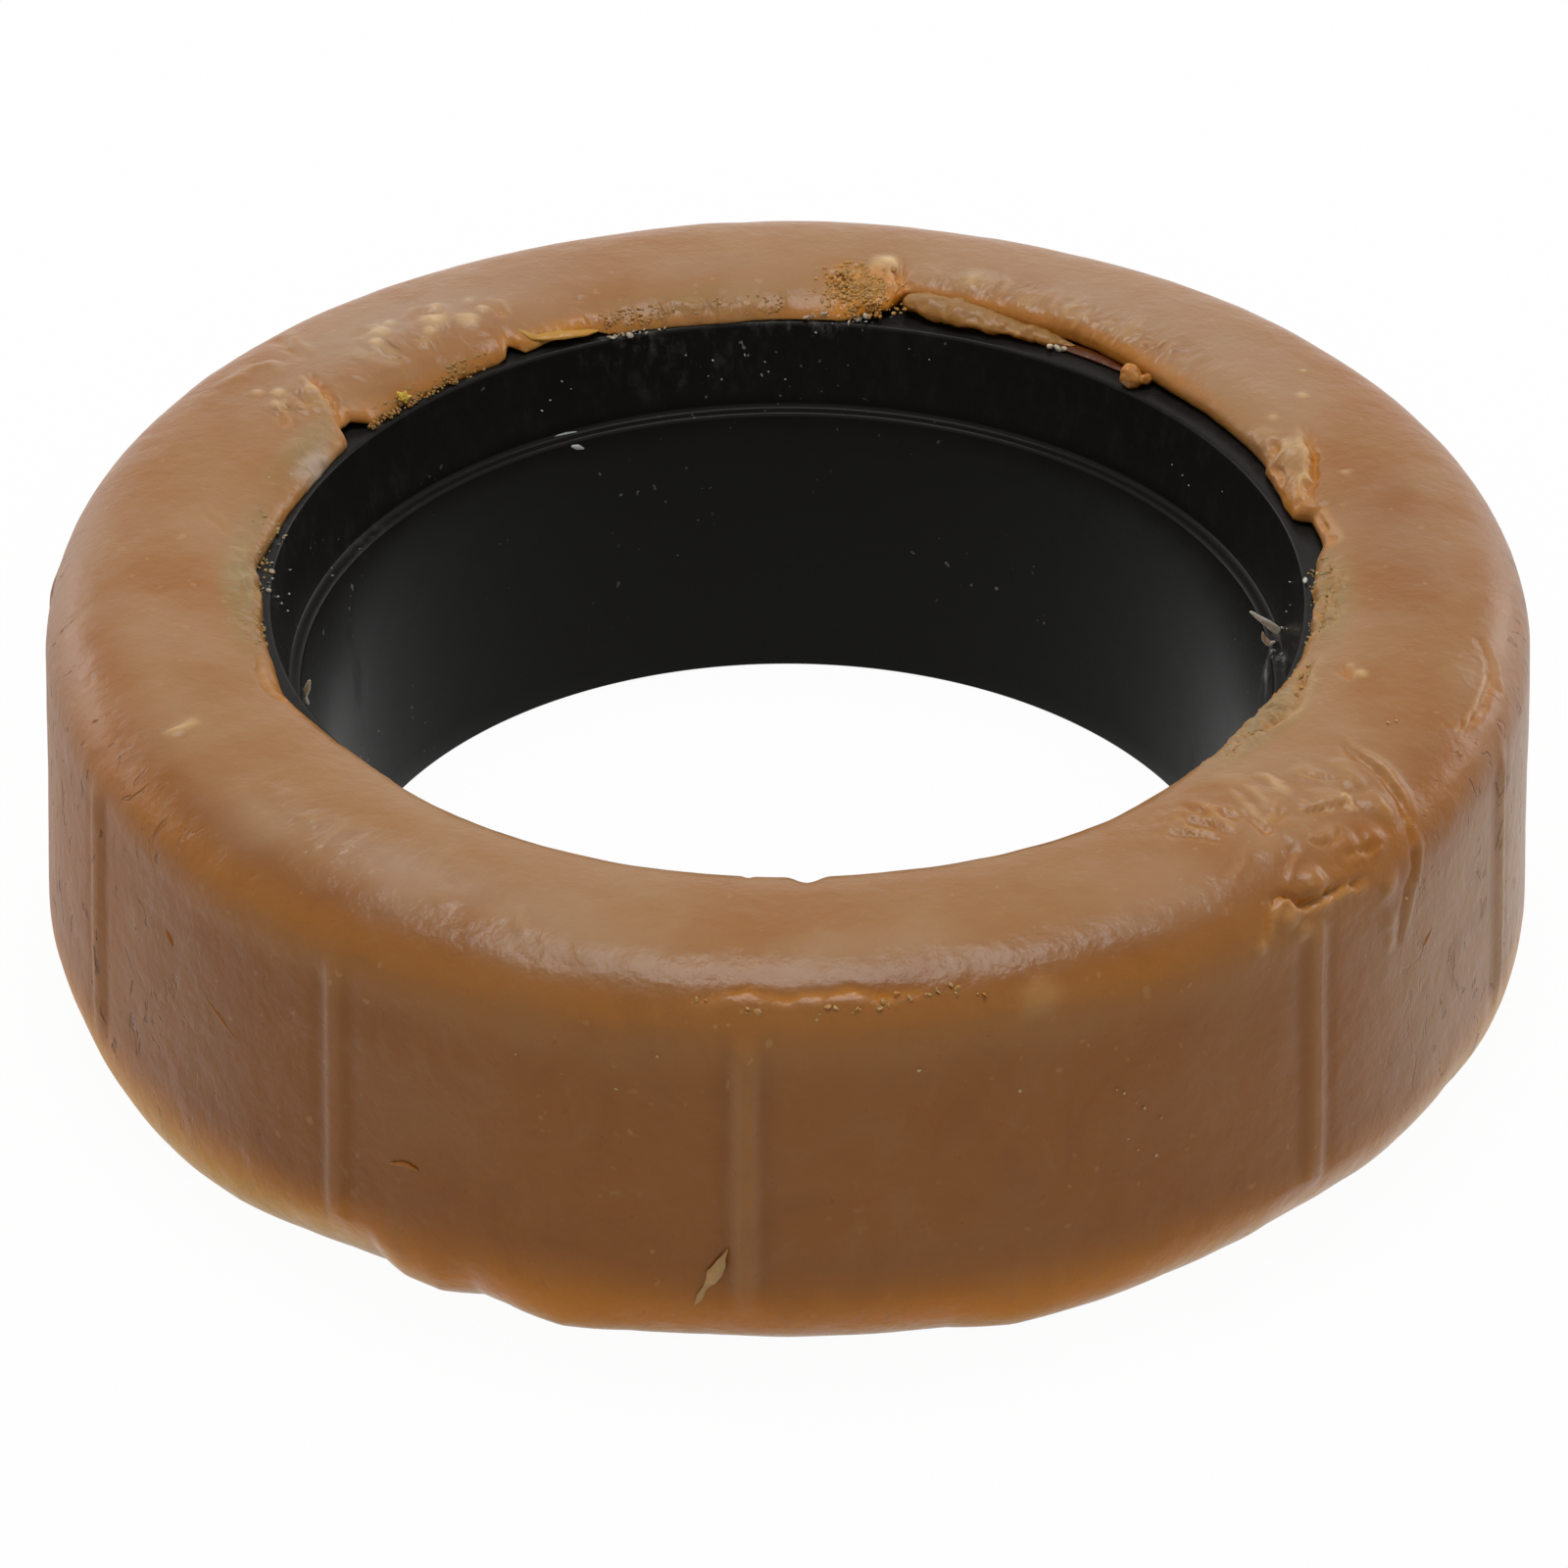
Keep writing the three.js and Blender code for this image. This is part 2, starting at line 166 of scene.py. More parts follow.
# Lumps and dents: place, radius, height, and how pale it is
LUMPS = [
    ((43.7, 9.8), 1.2, 0.55, 0.12), ((40.2, 11.2), 0.9, 0.5, 0.3), ((41.2, 12.6), 0.7, 0.35, 0.2),
    ((47.9, 1.6), 1.5, 0.22, 0.06), ((51.4, 4.4), 1.4, 0.28, 0.08), ((46.0, 5.4), 1.6, 0.22, 0.05),
    ((52.8, 1.6), 1.1, 0.3, 0.05), ((48.6, 8.0), 1.4, 0.25, 0.05), ((54.8, 4.6), 1.0, 0.3, 0.08),
    ((54.0, 7.0), 1.0, 0.35, 0.1), ((42.6, 5.6), 1.2, 0.18, 0.05), ((50.8, 13.5), 0.9, 0.3, 0.1),
    ((50.9, 16.7), 0.75, 0.35, 0.1), ((50.9, 18.6), 0.6, 0.3, 0.2), ((53.9, 8.4), 0.8, 0.3, 0.15),
    ((37.2, 12.4), 0.5, 0.3, 0.3), ((70.2, -0.7), 0.5, 0.2, 0.6), ((47.2, -2.4), 1.3, 0.25, 0.1),
    ((56, 3), 0.9, 0.25, 0.1), ((51, 9.6), 1.0, 0.3, 0.0),
    ((-142, -0.3), 1.1, 0.35, 0.75), ((-136.5, 0.9), 1.0, 0.3, 0.65), ((-145.1, -1.9), 0.9, 0.25, 0.6),
    ((-140.6, -1.5), 0.6, 0.2, 0.6), ((-143.6, 1.2), 0.5, 0.2, 0.5), ((-135.0, -0.1), 0.6, 0.2, 0.6),
    ((-138.3, 1.5), 0.5, 0.15, 0.5), ((-147, 0.6), 0.5, 0.15, 0.5), ((-121, 2.4), 0.5, 0.2, 0.5),
    ((-147.4, -1.1), 0.6, 0.2, 0.6), ((-122, 1), 0.6, 0.25, 0.65), ((-120.3, -0.1), 0.7, 0.3, 0.35),
    ((-134.6, -2), 1.2, -0.3, 0.1), ((-138.8, -2.6), 0.8, 0.2, 0.2), ((-131.5, -2.6), 1.8, 0.2, 0.0),
    ((-121.6, -1.9), 0.8, 0.3, 0.2), ((-124.2, -0.9), 0.6, 0.3, 0.3),
    ((112.6, -3.8), 1.5, 0.5, 0.3), ((107.6, -4.9), 1.1, 0.35, 0.25), ((105, -5.6), 0.8, 0.2, 0.3),
    ((117.5, -4.6), 1.2, 0.3, 0.1), ((170.4, -0.7), 1.1, 0.25, 0.45), ((169.6, 0.2), 0.7, 0.05, 0.6),
    ((121.2, 1.2), 0.5, 0.12, 0.6), ((124.9, 3.7), 0.3, 0.1, 0.6), ((119.3, -2.7), 0.5, 0.15, 0.35),
    ((106.8, -1.1), 0.4, 0.1, 0.4), ((18.7, 10.9), 1.6, 0.15, 0.25), ((160, -1.4), 1.4, 0.1, 0.2),
    ((154, -2.5), 1.2, 0.12, 0.15), ((148, -3), 1.4, 0.12, 0.1), ((141.5, -3), 1.2, 0.1, 0.15),
    ((-16, 6), 1.2, 0.12, 0.0), ((-29, 4.6), 1.3, 0.15, 0.0), ((-157.5, -3), 0.4, -0.2, 0.0),
]
# Wrinkled stretches: angle, span, distance from the crest, its span, and height
WRINKLES = [
    (143, 29, -2.2, 3.2, 0.34), (160, 11, -1.2, 2.4, 0.26), (49, 10, 2.8, 6.5, 0.14),
    (39, 8, -0.5, 4.5, 0.24), (-46, 12, 3.2, 3.4, 0.24), (-34, 13, 2.0, 5.0, 0.15),
    (-22, 8, 4.8, 3.2, 0.16), (-137, 15, -1.5, 3.6, 0.28), (-121, 6, -1.0, 3.2, 0.34),
    (110, 9, -4.2, 2.4, 0.32), (84, 11, -5.0, 1.6, 0.42), (61, 13, -5.0, 1.8, 0.36),
    (-88, 16, -5.6, 1.3, 0.34), (76, 5, 8.5, 4.0, 0.28), (172, 5, -3.6, 3.2, 0.42),
    (-153, 12, -5.8, 1.6, 0.30), (12, 12, 5.0, 4.0, 0.06), (-171, 14, -5.8, 1.4, 0.36),
]

# Tints: layer, strength, angle, its span, distance from the crest, and its span. The deep, dark and amber
# tints are painted shade on the crown's outer shoulder at the left and the right, and the others are painted
# sheen where the wax reflects the light: at the side edges, on the back of the crown and at the front left of
# the crown.
TINTS = [
    ("deep", 0.6, -72, 24, 7.0, 4.5), ("deep", 0.5, 95, 26, 1.0, 7.0),
    ("dark", 0.24, -74, 28, 7.3, 4.0), ("dark", 0.18, 95, 26, 1.0, 7.0),
    ("amber", 0.25, -74, 28, 7.3, 4.0),
    ("painted_sheen", 1.0, -89, 34, 10.5, 5.0), ("painted_sheen", 0.9, 89, 34, 10.5, 5.0),
    ("painted_sheen", 0.8, -141, 36, 1.6, 7.0), ("painted_sheen", 0.7, 143, 36, 1.0, 7.0),
    ("painted_sheen", 0.7, -35, 24, 3.0, 4.0), ("painted_sheen", 0.3, -172, 14, -1.0, 4.0),
]
# How full the crown's outer rounding is, where 2 is a circle
CROWN_FULLNESS = 2.7
# Height above which a place on the outer side is told by its radius, and below it by its height
CROWN_START = 31.5
# Height of the sleeve's collar, from its ledge to the top
COLLAR_HEIGHT = 7.6
# Dusty places on the sleeve: strength, angle, its span, lowest and highest
SLEEVE_DUST = [
    (0.80, 93, 5, 20.5, 23.6), (0.10, -161, 9, 29.6, 31.4), (0.04, -120, 12, 24, 26),
    (0.05, -168, 12, 26, 31), (0.28, 178, 9, 30.8, 31.6), (0.04, -100, 16, 29, 31.6),
    (0.06, 60, 60, 2, 20),
]

# What the wax's material reads at each point: colours laid over one another, and finishes
WAX_LAYERS = (
    "deep", "dark", "pale", "amber", "glow", "yellow", "olive", "painted_sheen", "dust", "grain", "pitted", "film_and_sheen")
# Radius at which the wax's own coordinates, which its flow marks follow, are wound round the axis
FLOW_RADIUS = 52.0


class SealSizes(bpy.types.PropertyGroup):
    """Sizes of the seal. The first ones come from the frame."""

    ring_height: FloatProperty(
        name="Ring height", description="Base to the crest of the crown",
        default=RING_BOX[1][2], unit="LENGTH")
    base_radius: FloatProperty(
        name="Base radius", description="Outside of the wax at its foot",
        default=RING_BOX[1][0], unit="LENGTH")
    sleeve_top: FloatProperty(
        name="Sleeve top", description="Base to the top of the flange",
        default=SLEEVE_BOX[1][2], unit="LENGTH")
    flange_radius: FloatProperty(
        name="Flange radius", description="Outer edge of the flange, hidden in the wax",
        default=SLEEVE_BOX[1][0], unit="LENGTH")
    bore_radius: FloatProperty(
        name="Bore radius", description="Inside of the sleeve at its lower end",
        default=0.0367, unit="LENGTH")
    rim_radius: FloatProperty(
        name="Rim radius", description="Inside of the collar at the flange",
        default=0.0412, unit="LENGTH")
    crest_radius: FloatProperty(
        name="Crest radius", description="Highest line of the crown",
        default=0.0484, unit="LENGTH")
    crown_drop: FloatProperty(
        name="Crown drop", description="Height that the crown's outer rounding takes",
        default=0.0068, unit="LENGTH")
    wall_draft: FloatProperty(
        name="Wall draft", description="How far the wall leans in, from foot to top",
        default=0.0012, unit="LENGTH")
    crest_margin: FloatProperty(
        name="Crest margin", description="Room above the smooth crest for swells and lumps",
        default=0.00030, unit="LENGTH")
    wax_steps: IntProperty(
        name="Wax steps", description="Divisions of the wax round the ring", default=880)
    sleeve_steps: IntProperty(
        name="Sleeve steps", description="Divisions of the sleeve round the ring", default=480)


class SealColours(bpy.types.PropertyGroup):
    """Colours of the wax, the plastic and the floor."""

    wax: FloatVectorProperty(
        name="Wax", description="Body of the wax", subtype="COLOR", size=3,
        default=(0.290, 0.134, 0.040))
    # Deep wax: clearer, redder wax; the same colour also paints shade on the crown's outer shoulders.
    wax_deep: FloatVectorProperty(
        name="Deep wax", description="Clearer, redder wax", subtype="COLOR", size=3,
        default=(0.262, 0.084, 0.005))
    # Dark wax: darker drifts; the same colour also paints shade above the front shoulder, on the crown's
    # outer shoulders, in the rib grooves and under the roll.
    wax_dark: FloatVectorProperty(
        name="Dark wax", description="Darker drifts on the wall", subtype="COLOR", size=3,
        default=(0.080, 0.020, 0.003))
    # Pale wax: crumbs and pressed lumps; the same colour also paints highlights on ribs, crease banks and
    # fold tops, and sheen on the right wall.
    wax_pale: FloatVectorProperty(
        name="Pale wax", description="Crumbs and pressed lumps", subtype="COLOR", size=3,
        default=(0.600, 0.410, 0.180))
    # Greyish film on the crown: a dusty haze that is in part a painted sheen.
    film_and_sheen: FloatVectorProperty(
        name="Film", description="Thin greyish film on the crown", subtype="COLOR", size=3,
        default=(0.400, 0.300, 0.200))
    # Painted sheen: a pale grey laid over the wax where it reflects the light, at its grazing side edges, on
    # the back of the crown, at the front left of the crown and on the right wall.
    painted_sheen: FloatVectorProperty(
        name="Bloom", description="Dull, milky skin at the sides and the back", subtype="COLOR", size=3,
        default=(0.420, 0.380, 0.340))
    # Amber: painted light through thin edges, and painted amber shade in creases and where the inner edge
    # turns under.
    amber: FloatVectorProperty(
        name="Amber", description="Thin edges that let light through", subtype="COLOR", size=3,
        default=(0.410, 0.145, 0.006))
    glow: FloatVectorProperty(
        name="Glow", description="Light that comes through the foot", subtype="COLOR", size=3,
        default=(0.860, 0.300, 0.000))
    # Yellow: the colour of clean flakes, and also painted light from the floor through the thin foot.
    yellow: FloatVectorProperty(
        name="Yellow", description="Clean flakes and the thin foot", subtype="COLOR", size=3,
        default=(0.590, 0.340, 0.025))
    olive: FloatVectorProperty(
        name="Olive", description="Dusty, rubbed wax by the sleeve", subtype="COLOR", size=3,
        default=(0.235, 0.160, 0.055))
    dust: FloatVectorProperty(
        name="Dust", description="Chalky dust and flakes", subtype="COLOR", size=3,
        default=(0.480, 0.460, 0.430))
    plastic: FloatVectorProperty(
        name="Plastic", description="Black sleeve", subtype="COLOR", size=3,
        default=(0.0092, 0.0085, 0.0074))
    floor: FloatVectorProperty(
        name="Floor", description="Floor and backdrop", subtype="COLOR", size=3,
        default=(0.80, 0.80, 0.80))


# Shape maths

def smooth(value, low, high):
    """0 below low and 1 above high, joined by the cubic 3t^2 - 2t^3."""
    t = np.clip((value - low) / (high - low), 0, 1)
    return t * t * (3 - 2 * t)


def turn(centre, angle):
    """Signed difference of two angles in degrees, from -180 to 180."""
    return (angle - centre + 180) % 360 - 180


def hump(away):
    """A raised cosine: 1 at 0 and 0 from -1 and from 1 outwards."""
    return 0.5 + 0.5 * np.cos(np.pi * np.clip(away, -1, 1))


def gauss(away):
    """The bell exp(-x^2)."""
    return np.exp(-np.square(away))


def around(angle, controls):
    """Value at each angle, by straight lines between the controls round the ring."""
    places, values = np.array(controls).T
    return np.interp(angle, places, values, period=360)


def lattice(cell, seed):
    """A repeatable number from 0 to 1 for each whole-number cell, by integer hashing."""
    n = cell[..., 0] * 73856093 ^ cell[..., 1] * 19349663 ^ cell[..., 2] * 83492791
    n = (n ^ (seed * 2654435761)) & 0xFFFFFFFF
    n = ((n ^ (n >> 15)) * 2246822519) & 0xFFFFFFFF
    n = ((n ^ (n >> 13)) * 3266489917) & 0xFFFFFFFF
    return ((n ^ (n >> 16)) & 0xFFFF) / 65535.0


def noise(points, size, seed):
    """Value noise from -1 to 1: random corner values of cells of that size, joined by cubics."""
    p = points / size
    base = np.floor(p).astype(np.int64)
    t = p - base
    t = t * t * (3 - 2 * t)
    total = 0
    for corner in np.ndindex(2, 2, 2):
        offset = np.array(corner)
        weight = np.prod(np.where(offset, t, 1 - t), axis=-1)
        total = total + weight * lattice(base + offset, seed)
    return total * 2 - 1


def fractal(points, size, seed, octaves=4):
    """Octaves of noise added up, each half the size and half the height of the last."""
    total = 0
    for octave in range(octaves):
        total = total + noise(points, size / 2 ** octave, seed + octave) / 2 ** octave
    return total / 1.8


def ridged(points, size, seed):
    """Creased noise from 0 to 1: (1 - |noise|)^2 in two octaves, sharp along its ridges."""
    coarse = (1 - np.abs(noise(points, size, seed))) ** 2
    return 0.65 * coarse + 0.35 * (1 - np.abs(noise(points, size / 2, seed + 1))) ** 2


def superellipse(t, fullness):
    """Shares across and up of a quarter superellipse: (cos t)^(2/n) and (sin t)^(2/n)."""
    return np.cos(t) ** (2 / fullness), np.sin(t) ** (2 / fullness)


def even_turns(count, fullness, width, rise):
    """Parameters t from 90 degrees to 0 that step evenly along a quarter superellipse."""
    t = np.linspace(np.pi / 2, 0, 600)
    across, up = superellipse(t, fullness)
    walked = np.cumsum(np.hypot(width * np.diff(across), rise * np.diff(up)))
    walked = np.concatenate([[0], walked])
    return np.interp(np.linspace(0, walked[-1], count), walked, t)


def ring_points(angle, radius, height):
    """Points at an angle, radius and height: x = r sin(angle), y = -r cos(angle)."""
    a = np.radians(angle)
    return np.stack(np.broadcast_arrays(radius * np.sin(a), -radius * np.cos(a), height), axis=-1)


def unit(vectors):
    """Vectors scaled to a length of 1."""
    return vectors / np.maximum(np.linalg.norm(vectors, axis=-1, keepdims=True), 1e-9)


def line_field(points, normals, line):
    """Distance from each point to a broken line, how far along it the nearest spot is from 0 to 1,
    and on which side it lies, by projecting on every segment and keeping the nearest."""
    best = np.full(len(points), 1e9)
    along = np.zeros(len(points))
    side = np.zeros(len(points))
    for k, (a, b) in enumerate(zip(line[:-1], line[1:])):
        d = b - a
        t = np.clip((points - a) @ d / (d @ d), 0, 1)
        gap = points - a - t[:, None] * d
        length = np.linalg.norm(gap, axis=1)
        nearer = length < best
        best = np.where(nearer, length, best)
        along = np.where(nearer, (k + t) / (len(line) - 1), along)
        side = np.where(nearer, np.sign(np.einsum("ij,ij->i", np.cross(d, gap), normals)), side)
    return best, along, side


def grid_normals(points):
    """Unit normals of a grid that closes both ways, by crossing its central differences."""
    du = np.roll(points, -1, 0) - np.roll(points, 1, 0)
    dv = np.roll(points, -1, 1) - np.roll(points, 1, 1)
    return unit(np.cross(du, dv))


class Casting:
    """The wax's smooth shape in millimetres, without its damage, and the places on it."""

    def __init__(self, sizes):
        self.limit = sizes.ring_height / MM
        self.top = self.limit - sizes.crest_margin / MM
        self.base = sizes.base_radius / MM
        self.flange = sizes.sleeve_top / MM
        self.rim = sizes.rim_radius / MM
        self.bore = sizes.bore_radius / MM
        self.crest = sizes.crest_radius / MM
        self.head = self.limit - sizes.crown_drop / MM
        self.draft = sizes.wall_draft / MM
        across, up = superellipse(np.linspace(np.pi / 2, 0, 240), CROWN_FULLNESS)
        height = self.head + (self.top - self.head) * up
        wall_top = self.base - self.draft * self.head / self.limit
        radius = self.crest + (wall_top - self.crest) * across
        foot = np.linspace(0, 1, 40)[1:]
        self.radius = np.concatenate([radius, wall_top + (self.base - wall_top) * foot])
        self.height = np.concatenate([height, self.head * (1 - foot)])
        steps = np.hypot(np.diff(self.radius), np.diff(self.height))
        self.walked = np.concatenate([[0], np.cumsum(steps)])

    def outer(self, away):
        """Radius and height at a distance from the crest, on the outer side."""
        return np.interp(away, self.walked, self.radius), np.interp(away, self.walked, self.height)

    def distance(self, radius, height):
        """Distance of each point from the crest, along the section."""
        low = np.interp(height, self.height[::-1], self.walked[::-1])
        flat = np.interp(radius, self.radius, self.walked)
        outer = np.where(height > CROWN_START, flat, low)
        return np.where(radius < self.crest, radius - self.crest, outer)

    def spots(self, places):
        """3-D points of places on the smooth shape."""
        angle, away = np.array(places, float).T
        radius, height = self.outer(away)
        fullness = around(angle, LIP_FULLNESS)
        lowest = self.flange + around(angle, LIP_GAP)
        share = np.clip(-away / (self.crest - around(angle, LIP_EDGE)), 0, 1)
        inner = lowest + (self.top - lowest) * (1 - share ** fullness) ** (1 / fullness)
        radius = np.where(away < 0, self.crest + away, radius)
        return ring_points(angle, radius, np.where(away < 0, inner, height))


def make_object(name, points, faces, material, layers=None):
    """A mesh object from points in millimetres, with one attribute for each layer."""
    mesh = bpy.data.meshes.new(name)
    faces = np.asarray(faces)
    corners = faces.shape[1]
    mesh.vertices.add(len(points))
    mesh.vertices.foreach_set("co", (points * MM).astype(np.float32).ravel())
    mesh.loops.add(faces.size)
    mesh.loops.foreach_set("vertex_index", faces.astype(np.int32).ravel())
    mesh.polygons.add(len(faces))
    mesh.polygons.foreach_set("loop_start", np.arange(0, faces.size, corners, dtype=np.int32))
    mesh.polygons.foreach_set("use_smooth", np.full(len(faces), True))
    mesh.update(calc_edges=True)
    for layer, values in (layers or {}).items():
        values = np.asarray(values, np.float32)
        kind, key = ("FLOAT", "value") if values.ndim == 1 else ("FLOAT_VECTOR", "vector")
        attribute = mesh.attributes.new(layer, kind, "POINT")
        attribute.data.foreach_set(key, values.ravel())
    mesh.materials.append(material)
    made = bpy.data.objects.new(name, mesh)
    bpy.context.scene.collection.objects.link(made)
    return made


def grid_faces(rows, columns):
    """Quads of a grid that closes both ways, as indices into its points."""
    i = np.arange(rows)[:, None]
    j = np.arange(columns)[None, :]
    over = (i + 1) % rows
    up = (j + 1) % columns
    quads = [i * columns + j, over * columns + j, over * columns + up, i * columns + up]
    return np.stack(quads, axis=-1).reshape(-1, 4)


# Shader maths

class Signal:
    """A socket whose value varies over a surface. An expression on it adds Math nodes."""

    def __init__(self, shader, socket):
        self.shader = shader
        self.socket = socket

    def math(self, operation, *values):
        return self.shader.node("ShaderNodeMath", {"operation": operation}, dict(enumerate(values)))

    def __add__(self, other):
        return self.math("ADD", self, other)

    def __sub__(self, other):
        return self.math("SUBTRACT", self, other)

    def __rsub__(self, other):
        return self.math("SUBTRACT", other, self)

    def __mul__(self, other):
        return self.math("MULTIPLY", self, other)

    __radd__ = __add__
    __rmul__ = __mul__

    def above(self, low, high):
        """0 below low and 1 above high, with a smooth step between."""
        return self.shader.node(
            "ShaderNodeMapRange", {"interpolation_type": "SMOOTHSTEP"}, {0: self, 1: low, 2: high})

    def most(self, other):
        return self.math("MAXIMUM", self, other)

    def size(self):
        return self.math("ABSOLUTE", self)

    def clamped(self):
        return self.math("MINIMUM", self.math("MAXIMUM", self, 0.0), 1.0)


class Shader:
    """A material or a world, and the few calls that its node tree needs."""

    def __init__(self, owner):
        owner.use_nodes = True
        self.owner = owner
        self.tree = owner.node_tree
        self.tree.nodes.clear()

    def node(self, kind, settings=None, inputs=None, output=0):
        """Adds a node: its settings first, then its inputs' values or links. Returns one output
        as a Signal."""
        made = self.tree.nodes.new(kind)
        for key, value in (settings or {}).items():
            setattr(made, key, value)
        for key, value in (inputs or {}).items():
            if isinstance(value, Signal):
                self.tree.links.new(value.socket, made.inputs[key])
            else:
                made.inputs[key].default_value = value
        return Signal(self, made.outputs[output]) if made.outputs else made

    def position(self):
        return self.node("ShaderNodeTexCoord", output="Object")

    def layer(self, name, output="Fac"):
        return self.node("ShaderNodeAttribute", {"attribute_name": name}, output=output)

    def stretched(self, scale, at=None):
        """Coordinates scaled on each axis, so that a texture stretches."""
        return self.node("ShaderNodeMapping", None, {"Vector": at or self.position(), "Scale": scale})

    def grain(self, size, detail=3.0, rough=0.55, at=None, warp=0.0):
        """Noise from 0 to 1 whose largest features are about size metres."""
        return self.node("ShaderNodeTexNoise", None, {
            "Vector": at or self.position(), "Scale": 1.0 / size, "Detail": detail,
            "Roughness": rough, "Distortion": warp})

    def mix(self, factor, first, second):
        """Blends two colours."""
        return self.node(
            "ShaderNodeMix", {"data_type": "RGBA"}, {0: factor, 6: first, 7: second}, output=2)

    def bumped(self, height, distance):
        """A normal bent by a height, where 1 stands for the distance in metres."""
        return self.node("ShaderNodeBump", None, {"Height": height, "Distance": distance})

    def seen_directly(self):
        """1 for camera, glossy and transmission rays, and 0 for the light that falls on things."""
        ray = "ShaderNodeLightPath"
        camera = self.node(ray, output="Is Camera Ray")
        return camera.most(self.node(ray, output="Is Glossy Ray")).most(
            self.node(ray, output="Is Transmission Ray"))

    def finish(self, **inputs):
        """Ends a material in a Principled surface, with inputs named by their sockets."""
        named = {key.replace("_", " "): value for key, value in inputs.items()}
        surface = self.node("ShaderNodeBsdfPrincipled", None, named)
        self.node("ShaderNodeOutputMaterial", None, {"Surface": surface})
        return self.owner


def rgba(colour):
    """A colour property as the four numbers that a colour socket takes."""
    return (*colour, 1.0)


# Materials

def wax_material(colours):
    """Amber brown wax: clouded body colour, deeper where it is clean, pale where it was pressed and where
    highlights are painted, amber at thin edges and in creases, olive and dusty beside the sleeve, pitted at
    the sides, with painted sheen and a greyish film that is in part painted sheen."""
    made = bpy.data.materials.get("cast_wax")
    if made:
        return made
    s = Shader(bpy.data.materials.new("cast_wax"))
    clouds = s.grain(0.014, 4.0, 0.6)
    fine = s.grain(0.0016, 3.0, 0.6)
    colour = s.mix(clouds.above(0.38, 0.7) * 0.5, rgba(colours.wax), rgba(colours.wax_deep))
    colour = s.mix(s.layer("deep"), colour, rgba(colours.wax_deep))
    colour = s.mix(s.layer("dark"), colour, rgba(colours.wax_dark))
    colour = s.mix(s.layer("pale"), colour, rgba(colours.wax_pale))
    colour = s.mix(s.layer("olive"), colour, rgba(colours.olive))
    colour = s.mix(s.layer("amber"), colour, rgba(colours.amber))
    colour = s.mix(s.layer("glow"), colour, rgba(colours.glow))
    colour = s.mix(s.layer("yellow"), colour, rgba(colours.yellow))
    # Greyish film on the crown, in part a painted sheen.
    film_and_sheen = s.grain(0.011, 2.0, 0.5, warp=0.2).above(0.36, 0.66) * s.layer("film_and_sheen")
    colour = s.mix(film_and_sheen * 0.18, colour, rgba(colours.film_and_sheen))
    # Painted sheen mixed into the colour, standing for the reflection at grazing edges and on the crown.
    colour = s.mix(s.layer("painted_sheen") * 0.26, colour, rgba(colours.painted_sheen))
    specks = s.grain(0.0012, 1.0, 0.5).above(0.70, 0.76) * clouds.above(0.4, 0.62)
    colour = s.mix(specks * 0.18, colour, rgba(colours.wax_pale))
    flow = s.layer("flow", "Vector")
    drips = s.grain(0.006, 5.0, 0.7, at=s.stretched((1.0, 1.0, 0.8), flow), warp=1.2)
    colour = s.mix(drips.above(0.50, 0.68) * s.layer("deep") * 0.12, colour, rgba(colours.wax_dark))
    colour = s.mix((1.0 - drips).above(0.52, 0.66) * s.layer("deep") * 0.3, colour, rgba(colours.wax))
    streaks = s.grain(0.0017, 3.0, 0.7, at=s.stretched((1.0, 1.0, 0.5), flow), warp=0.6)
    pits = streaks.above(0.61, 0.68) * s.layer("pitted")
    colour = s.mix(pits * 0.55, colour, rgba(colours.wax_dark))
    dust = s.layer("dust")
    colour = s.mix(dust, colour, rgba(colours.dust))
    grainy = s.layer("grain")
    bark = s.grain(0.0027, 2.5, 0.5, at=s.stretched((1.0, 1.0, 0.55), flow), warp=0.4)
    folded = (0.34 - (bark * 2.0 - 1.0).size()).most(0.0)
    mottle = s.grain(0.0085, 3.0, 0.55, warp=0.3)
    height = fine * 0.35 + s.grain(0.0050, 4.0, 0.55) * 0.9 + mottle * 0.7
    height = height + grainy * folded * 3.2 - pits * 1.0
    normal = s.bumped(height, 0.00030)
    worn = dust * 0.25 + s.layer("olive") * 0.15 + s.layer("pitted") * 0.16
    rough = 0.25 + film_and_sheen * 0.06 + fine * 0.08 + worn
    return s.finish(
        Base_Color=colour, Roughness=rough, Normal=normal, Subsurface_Weight=0.35,
        Subsurface_Radius=(1.0, 0.42, 0.16), Subsurface_Scale=0.0016, IOR=1.33)


def plastic_material(colours):
    """Moulded black plastic: glossy, with faint scuffs, a soft haze and a few specks of dust."""
    s = Shader(bpy.data.materials.new("black_plastic"))
    haze = s.grain(0.018, 3.0, 0.6)
    scuffs = s.grain(0.004, 5.0, 0.7, at=s.stretched((1.0, 1.0, 0.35))).above(0.56, 0.75)
    specks = s.grain(0.0005, 0.0, 0.5).above(0.80, 0.84) * haze.above(0.5, 0.62)
    smear = s.grain(0.0016, 5.0, 0.75, at=s.stretched((1.0, 1.0, 0.5))).above(0.46, 0.74)
    dust = (s.layer("dust") * smear + specks * 0.3).clamped()
    colour = s.mix(dust, rgba(colours.plastic), rgba(colours.dust))
    rough = 0.22 + haze * 0.14 + scuffs * 0.16 + dust * 0.3
    normal = s.bumped(s.grain(0.006, 3.0, 0.5), 0.00006)
    return s.finish(
        Base_Color=colour, Roughness=rough, Normal=normal, IOR=1.5, Specular_IOR_Level=0.075)


